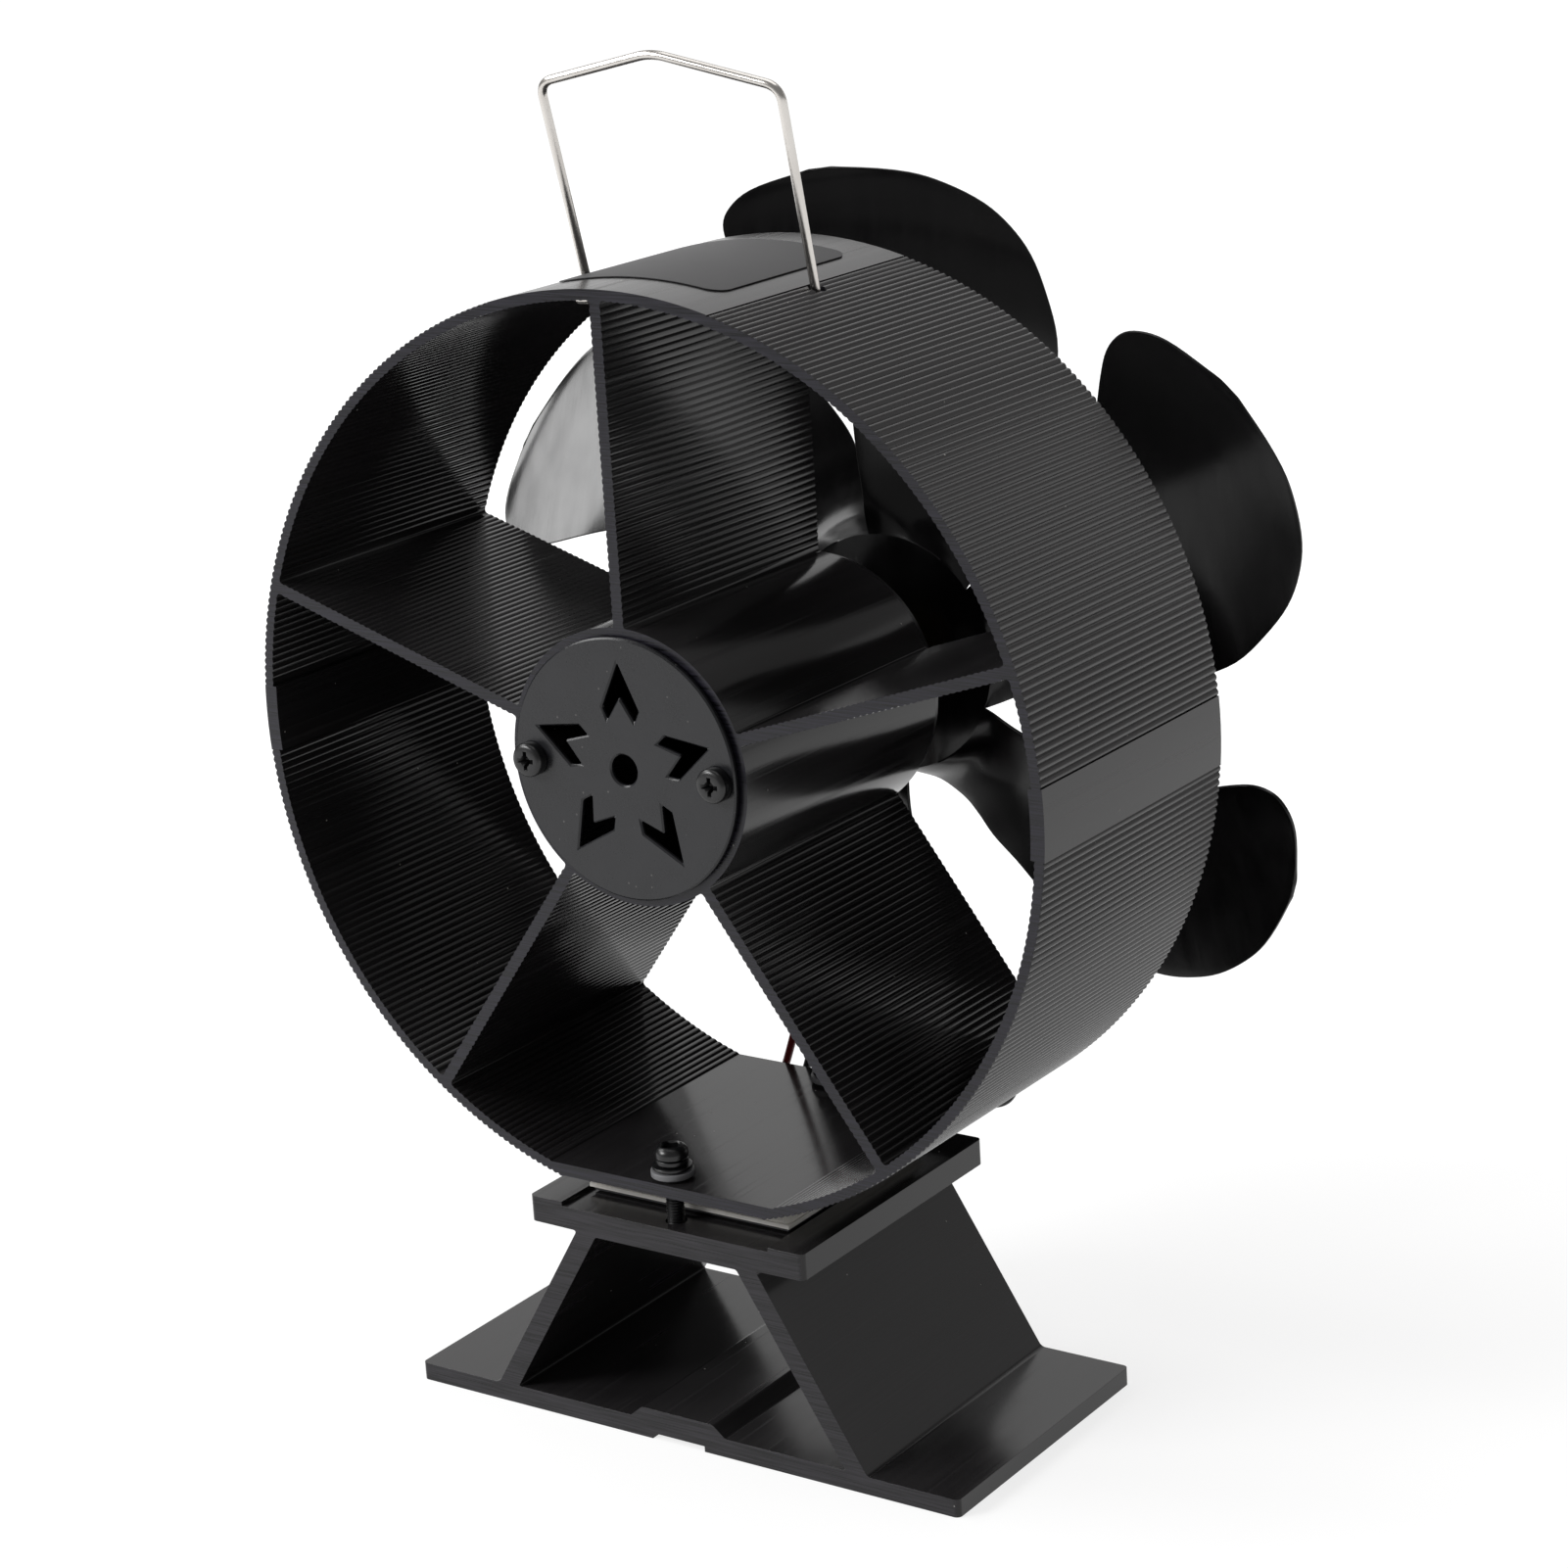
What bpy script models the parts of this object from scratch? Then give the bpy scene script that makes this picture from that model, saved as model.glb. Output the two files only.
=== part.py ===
"""Heat-powered stove fan: a finned ring radiator on a hollow base, a thermoelectric module clamped
between them, a small motor in the hub and a six-blade fan behind it. Metres, +Z up. The star cover
faces -Y and the fan blows from +Y."""

import math

import bmesh
import bpy
from mathutils import Matrix, Vector

# Clearances: between pieces that rest on each other, and round a turning shaft. OVERRUN is how far
# a cutter runs past its piece, and points closer than WELD are one point.
GAP = 0.0003
RUNNING_GAP = 0.0001
OVERRUN = 0.002
WELD = 0.00001

# Base extrusion
BASE_WIDTH = 0.1085
BASE_DEPTH = 0.0540
BASE_PLATE = 0.0031
BASE_HEIGHT = 0.0393
TOP_WIDTH = 0.0546
TUNNEL_FLOOR = 0.0033
TUNNEL_ROOF = 0.0051
TOP_PLATE = 0.0046
TOP_PLATE_EDGE = 0.0045
LEG_FOOT = 0.0373
LEG_HEAD = 0.0179
LEG_WALL_FOOT = 0.0042
LEG_WALL_HEAD = 0.0038
RECESS_WIDTH = 0.0412
RECESS_DEPTH = 0.0007
RIDGE_FOOT = 0.0096
RIDGE_CROWN = 0.0072
RIDGE_RISE = 0.0020
GROOVE_HALF = 0.00525
GROOVE_DEPTH = 0.0010
BASE_EDGE_ROUND = 0.0004
BASE_CORNER_ROUND = 0.0006

# Bimetal strip in the groove below the base, with its rivet
STRIP_WIDTH = 0.0085
STRIP_THICK = 0.0005
STRIP_LENGTH = 0.0480
STRIP_END_ROUND = 0.0020
RIVET_RADIUS = 0.0013
RIVET_HEAD_RADIUS = 0.0024
RIVET_HEAD_RISE = 0.0011
RIVET_FROM_END = 0.0060

# Thermoelectric module and its pads
MODULE_SIZE = 0.0400
CERAMIC_THICK = 0.0007
CORE_THICK = 0.00135
CORE_INSET = 0.0009
PAD_THICK = 0.00035
PAD_INSET = 0.0006

# Ring radiator
RING_RADIUS = 0.0750
RING_WALL = 0.0018
RING_DEPTH = 0.0539
RING_FLAT_CUT = 0.00265
FLOOR_THICK = 0.00255
SPOKE_COUNT = 5
SPOKE_THICK = 0.0021
SPOKE_FILLET = 0.0009
HUB_RADIUS = 0.0225
HUB_BORE = 0.0203
SIDE_BAND_ANGLE = 4.3
SIDE_BAND_EXTRA = 0.0006
SCREW_PORT_SPREAD = 0.0178
SCREW_PORT_RADIUS = 0.0037
TOP_BAND_ANGLE = 16.0
RIB_PITCH = 0.0012
RIB_DEPTH = 0.0003
ARC_STEP = 5.0

# Clamp screws through the ring floor into the base
CLAMP_SPREAD = 0.0232
CLAMP_SHANK = 0.0015
CLAMP_HEAD_RADIUS = 0.00275
CLAMP_HEAD_RISE = 0.0020
CLAMP_SOCKET_RADIUS = 0.0014
CLAMP_SOCKET_DEPTH = 0.0011
CLAMP_SETBACK = 0.0004
BUSH_RADIUS = 0.0036
BUSH_FLANGE = 0.0010
BUSH_SLEEVE_RADIUS = 0.0023
BUSH_SLEEVE_DROP = 0.0040
WASHER_RADIUS = 0.0033
WASHER_THICK = 0.0005
SPRING_WASHER_RADIUS = 0.0027
SPRING_WASHER_THICK = 0.0008
SPRING_WASHER_SPLIT = 14.0

# Front cover with the star of chevron slots
COVER_RADIUS = 0.0212
COVER_THICK = 0.0010
COVER_HOLE = 0.0025
CHEVRON_APEX = 0.0173
CHEVRON_INNER_APEX = 0.0118
CHEVRON_OUTER_END_ALONG = 0.00985
CHEVRON_OUTER_END_ACROSS = 0.00355
CHEVRON_INNER_END_ALONG = 0.0079
CHEVRON_INNER_END_ACROSS = 0.0026

# Pan-head machine screws that hold the cover and the motor plate
SCREW_SHANK = 0.0015
SCREW_LENGTH = 0.0080
PAN_RADIUS = 0.0028
PAN_RISE = 0.0019
CROSS_ARM = 0.0034
CROSS_WIDTH = 0.0007
CROSS_DEPTH = 0.0010

# Motor plate on the back of the hub
PLATE_RADIUS = 0.0220
PLATE_THICK = 0.0012
MOTOR_SCREW_SPREAD = 0.0080
MOTOR_SCREW_SHANK = 0.0010
MOTOR_SCREW_HEAD = 0.0019
MOTOR_SCREW_RISE = 0.0011
MOTOR_SCREW_LENGTH = 0.0018
MOTOR_CROSS_ARM = 0.0023
LEAD_SLOT_WIDTH = 0.0074
LEAD_SLOT_TOP = 0.0142
LEAD_SLOT_BOTTOM = 0.0188

# Motor
CAN_RADIUS = 0.0122
CAN_WALL = 0.0008
CAN_LENGTH = 0.0173
NOSE_RADIUS = 0.0042
NOSE_LENGTH = 0.0020
BEARING_RADIUS = 0.0029
BEARING_LENGTH = 0.0026
CAP_FLANGE = 0.0013
CAP_SPIGOT = 0.0015
CAP_BOSS_RADIUS = 0.0044
CAP_BOSS_LENGTH = 0.0014
MAGNET_THICK = 0.0024
MAGNET_LENGTH = 0.0118
MAGNET_HALF_ANGLE = 58.0
ARMATURE_LENGTH = 0.0106
ARMATURE_POLES = 3
ARMATURE_SLOT = 0.0018
ARMATURE_CORE_SHARE = 0.45
COMMUTATOR_RADIUS = 0.0022
COMMUTATOR_LENGTH = 0.0026
SHAFT_RADIUS = 0.0010
SHAFT_TAIL = 0.0003
TERMINAL_SPREAD = 0.0080
TERMINAL_THICK = 0.0004
TERMINAL_WIDTH = 0.0024
TERMINAL_OUT = 0.0034
TERMINAL_IN = 0.0006

# Six-blade fan of one stamped sheet on a boss
FAN_RADIUS = 0.0820
BLADE_COUNT = 6
BLADE_PHASE = 108.3
FAN_SHEET = 0.0006
FAN_PLANE_SETBACK = 0.0200
FAN_BORE = 0.0037
FAN_FLAT_RADIUS = 0.0140
FAN_PLATE_RADIUS = 0.0205
SLOT_END_LEAD_ANGLE = -11.0
SLOT_END_BACK_SHARE = 0.006
BLADE_CAMBER_SHARE = 0.012
BOSS_RADIUS = 0.0050
BOSS_LENGTH = 0.0090
BOSS_FLANGE_RADIUS = 0.0080
BOSS_FLANGE = 0.0010
BOSS_SPIGOT_RADIUS = 0.0034
BOSS_SPIGOT = 0.0026
CLAMP_RING_THICK = 0.0008
GRUB_RADIUS = 0.0011
GRUB_LENGTH = 0.0026
GRUB_HOLE = 0.0014
BLADE_COLUMNS = 4
# Blade edges as shares of the fan's radius: along the turning direction, out from the axis, and
# back from the hub plate
LEADING_EDGE_SHARES = [
    (-0.052, 0.268, 0.004), (-0.060, 0.299, 0.000), (-0.070, 0.335, 0.000), (-0.079, 0.384, 0.000),
    (-0.095, 0.445, -0.002), (-0.111, 0.506, -0.005), (-0.111, 0.573, -0.011), (-0.094, 0.646, -0.020),
    (-0.065, 0.720, -0.028), (-0.037, 0.780, -0.038), (-0.006, 0.841, -0.048), (0.015, 0.895, -0.056),
    (0.013, 0.941, -0.057), (-0.012, 0.971, -0.049), (-0.061, 0.990, -0.032), (-0.146, 0.991, 0.001),
    (-0.186, 0.988, 0.015),
]
TRAILING_EDGE_SHARES = [
    (-0.245, 0.096, 0.030), (-0.263, 0.128, 0.073), (-0.296, 0.171, 0.103), (-0.336, 0.200, 0.128),
    (-0.378, 0.234, 0.142), (-0.421, 0.293, 0.152), (-0.460, 0.351, 0.152), (-0.504, 0.420, 0.148),
    (-0.542, 0.506, 0.145), (-0.551, 0.598, 0.144), (-0.546, 0.683, 0.142), (-0.524, 0.751, 0.136),
    (-0.489, 0.812, 0.124), (-0.429, 0.875, 0.102), (-0.369, 0.919, 0.080), (-0.262, 0.967, 0.043),
    (-0.224, 0.981, 0.029),
]

# Carry handle of bent wire in two holes at the top of the ring
WIRE_RADIUS = 0.00075
HANDLE_HALF = 0.0219
HANDLE_CORNER_HALF = 0.0226
HANDLE_CORNER = 0.0330
HANDLE_PEAK = 0.0380
HANDLE_TAIL_DROP = 0.0032
HANDLE_TAIL = 0.0026
HANDLE_BEND = 0.0026
HANDLE_LEAN = 13.0
HANDLE_HOLE = 0.0015

# Blank plate on the smooth top band
LABEL_LENGTH = 0.0356
LABEL_HALF_ANGLE = 12.2
LABEL_THICK = 0.00025
LABEL_SETBACK = 0.0010
LABEL_CORNER = 0.0030

# Leads from the module to the motor
LEAD_RADIUS = 0.0007
LEAD_RISE = 0.0026
RED_LEAD_START = -0.0150
BLACK_LEAD_START = -0.0105
LEAD_SPREAD = 0.0016

# Places that follow from the sizes above
RECESS_FLOOR = BASE_HEIGHT - RECESS_DEPTH
TUNNEL_CEILING = BASE_HEIGHT - TUNNEL_ROOF
MODULE_STACK = 2 * PAD_THICK + 2 * CERAMIC_THICK + CORE_THICK + 6 * GAP
RING_FLAT = RING_RADIUS - RING_FLAT_CUT
HUB_Z = RECESS_FLOOR + MODULE_STACK + RING_FLAT
LEAD_LEVEL = RECESS_FLOOR + LEAD_RISE
RING_INNER = RING_RADIUS - RING_WALL
RING_BACK = RING_DEPTH / 2
RING_FRONT = -RING_DEPTH / 2
RING_UNDERSIDE = HUB_Z - RING_FLAT
FLOOR_TOP = RING_UNDERSIDE + FLOOR_THICK
PLATE_FRONT = RING_BACK + GAP
PLATE_BACK = PLATE_FRONT + PLATE_THICK
CAN_BACK = PLATE_FRONT - GAP
CAN_FRONT = CAN_BACK - CAN_LENGTH
FAN_PLANE = RING_BACK + FAN_PLANE_SETBACK
WALL_MIDDLE = RING_RADIUS - RING_WALL / 2
HANDLE_AXIS_Z = HUB_Z + math.sqrt(WALL_MIDDLE**2 - HANDLE_HALF**2)


def clear_scene():
    for old in list(bpy.data.objects):
        bpy.data.objects.remove(old, do_unlink=True)


def new_collection(name):
    collection = bpy.data.collections.new(name)
    bpy.context.scene.collection.children.link(collection)
    return collection


clear_scene()
PARTS = new_collection("stove_fan")
CUTTERS = new_collection("cutters")
ROOT = bpy.data.objects.new("stove_fan_root", None)
HANDLE_PIVOT = bpy.data.objects.new("handle_pivot", None)
FAN_PIVOT = bpy.data.objects.new("fan_pivot", None)
for pivot in (ROOT, HANDLE_PIVOT, FAN_PIVOT):
    PARTS.objects.link(pivot)
HANDLE_PIVOT.parent = ROOT
HANDLE_PIVOT.location = (0, 0, HANDLE_AXIS_Z)
FAN_PIVOT.parent = ROOT
FAN_PIVOT.location = (0, 0, HUB_Z)


def material(name, colour, roughness, metallic):
    made = bpy.data.materials.new(name)
    made.use_nodes = True
    shader = made.node_tree.nodes["Principled BSDF"]
    shader.inputs["Base Color"].default_value = (*colour, 1.0)
    shader.inputs["Roughness"].default_value = roughness
    shader.inputs["Metallic"].default_value = metallic
    return made


BLACK_ANODISED = material("black_anodised", (0.030, 0.029, 0.031), 0.38, 0.6)
BLACK_PAINT = material("black_paint", (0.016, 0.015, 0.016), 0.30, 0.1)
BLACK_COVER = material("black_cover", (0.055, 0.055, 0.058), 0.45, 0.2)
BLACK_STEEL = material("black_steel", (0.025, 0.025, 0.027), 0.28, 0.8)
STAINLESS = material("stainless_wire", (0.60, 0.59, 0.57), 0.18, 1.0)
BRIGHT_STEEL = material("bright_steel", (0.55, 0.55, 0.56), 0.30, 1.0)
CERAMIC = material("alumina", (0.68, 0.66, 0.62), 0.60, 0.0)
PELLETS = material("pellets", (0.16, 0.15, 0.15), 0.55, 0.5)
GRAPHITE = material("graphite_pad", (0.05, 0.05, 0.055), 0.60, 0.2)
NYLON = material("grey_bush", (0.42, 0.42, 0.43), 0.50, 0.0)
BRASS = material("brass", (0.62, 0.44, 0.18), 0.32, 1.0)
COPPER = material("copper", (0.62, 0.30, 0.16), 0.35, 1.0)
BRONZE = material("bronze", (0.42, 0.26, 0.12), 0.45, 1.0)
FERRITE = material("ferrite", (0.07, 0.07, 0.075), 0.70, 0.1)
WHITE_PLASTIC = material("white_plastic", (0.72, 0.72, 0.70), 0.45, 0.0)
LABEL_GREY = material("label_grey", (0.10, 0.10, 0.10), 0.50, 0.0)
RED_SLEEVE = material("red_sleeve", (0.35, 0.02, 0.02), 0.45, 0.0)
BLACK_SLEEVE = material("black_sleeve", (0.02, 0.02, 0.02), 0.45, 0.0)
BIMETAL = material("bimetal", (0.45, 0.43, 0.40), 0.35, 1.0)


def place(obj, made_of, parent=ROOT, collection=PARTS):
    """Gives the object its material, parent and collection, shading round sides smooth."""
    collection.objects.link(obj)
    obj.data.materials.clear()
    obj.data.materials.append(made_of)
    obj.data.shade_smooth()
    obj.data.set_sharp_from_angle(angle=math.radians(32))
    obj.parent = parent
    return obj


def mesh_object(name, build):
    """An object whose mesh is filled by build(bm)."""
    mesh = bpy.data.meshes.new(name)
    bm = bmesh.new()
    build(bm)
    bmesh.ops.recalc_face_normals(bm, faces=bm.faces)
    bm.to_mesh(mesh)
    bm.free()
    return bpy.data.objects.new(name, mesh)


def curve_to_mesh(curve_object):
    """The evaluated curve as a mesh object of the same name, with its caps welded on."""
    name = curve_object.name
    bpy.context.scene.collection.objects.link(curve_object)
    graph = bpy.context.evaluated_depsgraph_get()
    mesh = bpy.data.meshes.new_from_object(curve_object.evaluated_get(graph))
    turned = curve_object.matrix_world.copy()
    bpy.data.objects.remove(curve_object, do_unlink=True)
    bm = bmesh.new()
    bm.from_mesh(mesh)
    bmesh.ops.remove_doubles(bm, verts=bm.verts, dist=WELD)
    bmesh.ops.transform(bm, matrix=turned, verts=bm.verts)
    bmesh.ops.recalc_face_normals(bm, faces=bm.faces)
    bm.to_mesh(mesh)
    bm.free()
    mesh.name = name
    return bpy.data.objects.new(name, mesh)


TURN_TO = {
    "Y": Matrix.Rotation(math.radians(90), 4, "X"),
    "Z": Matrix.Identity(4),
    "X": Matrix.Rotation(math.radians(90), 4, "Z") @ Matrix.Rotation(math.radians(90), 4, "X"),
}
EXTRUDE_DIRECTION = {"Y": -1, "Z": 1, "X": 1}


def extruded(name, loops, low, high, along="Y"):
    """A flat outline with holes, filled and extruded from low to high along one axis."""
    curve = bpy.data.curves.new(name, "CURVE")
    curve.dimensions = "2D"
    curve.fill_mode = "BOTH"
    curve.extrude = (high - low) / 2
    for loop in loops:
        spline = curve.splines.new("POLY")
        spline.points.add(len(loop) - 1)
        for point, (across, up) in zip(spline.points, loop):
            point.co = (across, up, 0, 1)
        spline.use_cyclic_u = True
    obj = bpy.data.objects.new(name, curve)
    middle = EXTRUDE_DIRECTION[along] * (low + high) / 2
    obj.matrix_world = TURN_TO[along] @ Matrix.Translation((0, 0, middle))
    return curve_to_mesh(obj)


def turned(name, profile, steps=32):
    """A profile of (radius, height) points, running down its outer side, turned about Z."""
    mesh = bpy.data.meshes.new(name)
    bm = bmesh.new()
    points = [bm.verts.new((radius, 0, height)) for radius, height in profile]
    on_axis = profile[0][0] == 0
    pairs = list(zip(points, points[1:]))
    for first, second in pairs if on_axis else pairs + [(points[-1], points[0])]:
        bm.edges.new((first, second))
    bm.to_mesh(mesh)
    bm.free()
    obj = bpy.data.objects.new(name, mesh)
    screw = obj.modifiers.new("turn", "SCREW")
    screw.axis = "Z"
    screw.steps = steps
    screw.render_steps = steps
    screw.use_merge_vertices = True
    screw.merge_threshold = WELD
    screw.use_smooth_shade = True
    return obj


def tube_profile(outer, inner, bottom, top):
    return [(outer, top), (outer, bottom), (inner, bottom), (inner, top)]


def along_y(obj, at=0.0, across=0.0, up=0.0):
    """Lays an object turned about Z along +Y, its zero height at y = at."""
    obj.rotation_euler = (math.radians(-90), 0, 0)
    obj.location = (across, at, up)
    return obj


def facing_front(obj, at=0.0, across=0.0, up=0.0):
    """Lays an object turned about Z along -Y."""
    obj.rotation_euler = (math.radians(90), 0, 0)
    obj.location = (across, at, up)
    return obj


def cutter(obj, parent=ROOT):
    CUTTERS.objects.link(obj)
    obj.hide_render = True
    obj.display_type = "WIRE"
    obj.parent = parent
    return obj


def cut(obj, tool):
    change = obj.modifiers.new("cut_" + tool.name, "BOOLEAN")
    change.operation = "DIFFERENCE"
    change.solver = "EXACT"
    change.object = tool


def box(name, low, high):
    """A box between two opposite corners."""
    size = [h - l for l, h in zip(low, high)]
    middle = [(h + l) / 2 for l, h in zip(low, high)]

    def build(bm):
        bmesh.ops.create_cube(bm, size=1, matrix=Matrix.Translation(middle) @ Matrix.Diagonal((*size, 1)))

    return mesh_object(name, build)


def rod(name, radius, low, high, across=0.0, depth=0.0, sides=24):
    """An upright cylinder from low to high."""

    def build(bm):
        turn = Matrix.Translation((across, depth, (low + high) / 2))
        bmesh.ops.create_cone(
            bm, cap_ends=True, segments=sides, radius1=radius, radius2=radius, depth=high - low, matrix=turn
        )

    return mesh_object(name, build)


def arc(radius, start, end, step=ARC_STEP, centre=(0, 0)):
    """Points on a circle from one angle to another, in degrees, both ends included."""
    count = max(1, math.ceil(abs(end - start) / step - 1e-6))
    angles = [math.radians(start + (end - start) * i / count) for i in range(count + 1)]
    return [(centre[0] + radius * math.cos(a), centre[1] + radius * math.sin(a)) for a in angles]


def circle(radius, centre=(0, 0), sides=32):
    return arc(radius, 0, 360, 360 / sides, centre)[:-1]


def round_corner(before, corner, after, reach, count=3):
    """Points of a soft corner that starts and ends at the given reach from the corner."""

    def toward(goal):
        length = math.dist(corner, goal)
        share = min(reach / length, 0.45)
        return tuple(c + (g - c) * share for c, g in zip(corner, goal))

    start, end = toward(before), toward(after)
    made = []
    for i in range(count + 1):
        t = i / count
        weights = ((1 - t) ** 2, 2 * t * (1 - t), t**2)
        made.append(tuple(sum(w * p[k] for w, p in zip(weights, (start, corner, end))) for k in (0, 1)))
    return made


def rounded(points, reach):
    """The closed outline with each corner softened."""
    made = []
    for i, corner in enumerate(points):
        made += round_corner(points[i - 1], corner, points[(i + 1) % len(points)], reach)
    return made


def mirrored(half):
    """A closed outline from its right half, listed from the centre line to the centre line."""
    return half + [(-x, z) for x, z in reversed(half) if x > 0]


def rounded_plate(half_width, half_length, corner, step=30.0):
    made = []
    for quarter, (sx, sy) in enumerate(((1, 1), (-1, 1), (-1, -1), (1, -1))):
        centre = (sx * (half_width - corner), sy * (half_length - corner))
        made += arc(corner, 90 * quarter, 90 * quarter + 90, step, centre)
    return made


# Base


def bevel_plate_corners(obj, half_width):
    """Rounds the upright corner edges of a plate that ends at the given half width."""
    bm = bmesh.new()
    bm.from_mesh(obj.data)
    bmesh.ops.dissolve_limit(bm, angle_limit=math.radians(1), verts=bm.verts, edges=bm.edges)
    reach = half_width - BASE_EDGE_ROUND / 2
    corners = []
    for edge in bm.edges:
        ends = [v.co for v in edge.verts]
        upright = abs(ends[0].z - ends[1].z) > BASE_EDGE_ROUND
        at_side = all(reach < abs(v.x) < half_width + BASE_EDGE_ROUND / 2 for v in ends)
        at_end = abs(ends[0].y - ends[1].y) < BASE_EDGE_ROUND / 2
        if upright and at_side and at_end:
            corners.append(edge)
    bmesh.ops.bevel(bm, geom=corners, offset=BASE_CORNER_ROUND, segments=3, profile=0.5, affect="EDGES")
    bm.to_mesh(obj.data)
    bm.free()


def make_base():
    under_top = BASE_HEIGHT - TOP_PLATE
    half, top_half, recess_half = BASE_WIDTH / 2, TOP_WIDTH / 2, RECESS_WIDTH / 2
    soft = BASE_EDGE_ROUND
    foot = round_corner((half, BASE_PLATE), (LEG_FOOT, BASE_PLATE), (LEG_HEAD, under_top), 2 * soft)
    head = round_corner((LEG_FOOT, BASE_PLATE), (LEG_HEAD, under_top), (top_half, under_top), 2 * soft)
    outer = [(GROOVE_HALF, GROOVE_DEPTH), (GROOVE_HALF, 0), (half, 0), (half, BASE_PLATE)]
    outer += foot + head
    outer += [(top_half, BASE_HEIGHT - TOP_PLATE_EDGE), (top_half, BASE_HEIGHT), (recess_half, BASE_HEIGHT)]
    outer += [(recess_half, RECESS_FLOOR)]
    tunnel = [(RIDGE_CROWN, TUNNEL_FLOOR + RIDGE_RISE), (RIDGE_FOOT, TUNNEL_FLOOR)]
    tunnel += [(LEG_FOOT - LEG_WALL_FOOT, TUNNEL_FLOOR), (LEG_HEAD - LEG_WALL_HEAD, TUNNEL_CEILING)]
    loops = [mirrored(outer), rounded(mirrored(tunnel), soft)]
    base = extruded("base", loops, -BASE_DEPTH / 2, BASE_DEPTH / 2)
    bevel_plate_corners(base, half)
    bevel_plate_corners(base, top_half)
    place(base, BLACK_ANODISED)
    for end, side in (("front", -1), ("rear", 1)):
        low, high = under_top - OVERRUN, BASE_HEIGHT + OVERRUN
        hole = rod(f"base_hole_{end}", CLAMP_SHANK + GAP, low, high, 0, side * CLAMP_SPREAD, 16)
        cut(base, cutter(hole))
    high = TUNNEL_FLOOR + RIDGE_RISE + OVERRUN
    rivet_hole = rod("rivet_hole", RIVET_RADIUS + GAP, -OVERRUN, high, 0, rivet_y(), 16)
    cut(base, cutter(rivet_hole))


def rivet_y():
    return STRIP_LENGTH / 2 - RIVET_FROM_END


def make_bimetal():
    outline = rounded_plate(STRIP_WIDTH / 2, STRIP_LENGTH / 2, STRIP_END_ROUND)
    hole = circle(RIVET_RADIUS + GAP, (0, rivet_y()), 16)
    low = GROOVE_DEPTH - GAP - STRIP_THICK
    place(extruded("bimetal_strip", [outline, hole], low, low + STRIP_THICK, "Z"), BIMETAL)
    ridge_top = TUNNEL_FLOOR + RIDGE_RISE
    under = ridge_top + GAP
    crown = under + RIVET_HEAD_RISE
    profile = [(0, crown)]
    for a in (0.5, 1.0, 1.4):
        profile.append((RIVET_HEAD_RADIUS * math.sin(a), under + RIVET_HEAD_RISE * math.cos(a)))
    profile += [(RIVET_HEAD_RADIUS, under), (RIVET_RADIUS, under), (RIVET_RADIUS, low), (0, low)]
    rivet = turned("bimetal_rivet", profile, 16)
    rivet.location = (0, rivet_y(), 0)
    place(rivet, BRIGHT_STEEL)


# Thermoelectric module


def make_module():
    level = RECESS_FLOOR + GAP
    layers = [
        ("lower_thermal_pad", PAD_THICK, PAD_INSET, GRAPHITE),
        ("module_hot_ceramic", CERAMIC_THICK, 0, CERAMIC),
        ("module_core", CORE_THICK, CORE_INSET, PELLETS),
        ("module_cold_ceramic", CERAMIC_THICK, 0, CERAMIC),
        ("upper_thermal_pad", PAD_THICK, PAD_INSET, GRAPHITE),
    ]
    for name, thick, inset, made_of in layers:
        half = MODULE_SIZE / 2 - inset
        place(box(name, (-half, -half, level), (half, half, level + thick)), made_of)
        level += thick + GAP


# Radiator


def inner_wall(start, end):
    """The inside of the ring from one angle to another, with the thicker bands at the two sides."""
    made = []
    angle = start
    for band in (0.0, 180.0, 360.0):
        low, high = band - SIDE_BAND_ANGLE, band + SIDE_BAND_ANGLE
        if low > start and high < end:
            made += arc(RING_INNER, angle, low)
            made += arc(RING_INNER - SIDE_BAND_EXTRA, low, high)
            angle = high
    return made + arc(RING_INNER, angle, end)


def sector(start):
    """The opening between one spoke and the next, with small fillets at its four corners."""
    end = start + 360 / SPOKE_COUNT
    half = SPOKE_THICK / 2
    at_ring = math.degrees(math.asin(half / RING_INNER))
    at_hub = math.degrees(math.asin(half / HUB_RADIUS))
    wall = inner_wall(start + at_ring, end - at_ring)
    floor = RING_FLAT - FLOOR_THICK
    if start < 270 < end:
        corner = math.degrees(math.acos(floor / RING_INNER))
        wall = arc(RING_INNER, start + at_ring, 270 - corner) + arc(RING_INNER, 270 + corner, end - at_ring)
    hub = arc(HUB_RADIUS, end - at_hub, start + at_hub, 8.0)
    made = []
    for path, following, preceding in ((wall, hub, hub), (hub, wall, wall)):
        made += round_corner(preceding[-1], path[0], path[1], SPOKE_FILLET)
        made += path[1:-1]
        made += round_corner(path[-2], path[-1], following[0], SPOKE_FILLET)
    return made


def hub_bore():
    """The hub's bore, with the two screw ports standing in from its sides."""
    meet_x = (SCREW_PORT_SPREAD**2 + HUB_BORE**2 - SCREW_PORT_RADIUS**2) / (2 * SCREW_PORT_SPREAD)
    on_bore = math.degrees(math.acos(meet_x / HUB_BORE))
    on_port = math.degrees(math.acos((meet_x - SCREW_PORT_SPREAD) / SCREW_PORT_RADIUS))
    made = []
    for turn in (0, 180):
        side = 1 if turn == 0 else -1
        centre = (side * SCREW_PORT_SPREAD, 0)
        made += arc(SCREW_PORT_RADIUS, turn + 360 - on_port, turn + on_port, 20.0, centre)
        made += arc(HUB_BORE, turn + on_bore, turn + 180 - on_bore, 8.0)[1:-1]
    return made


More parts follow.
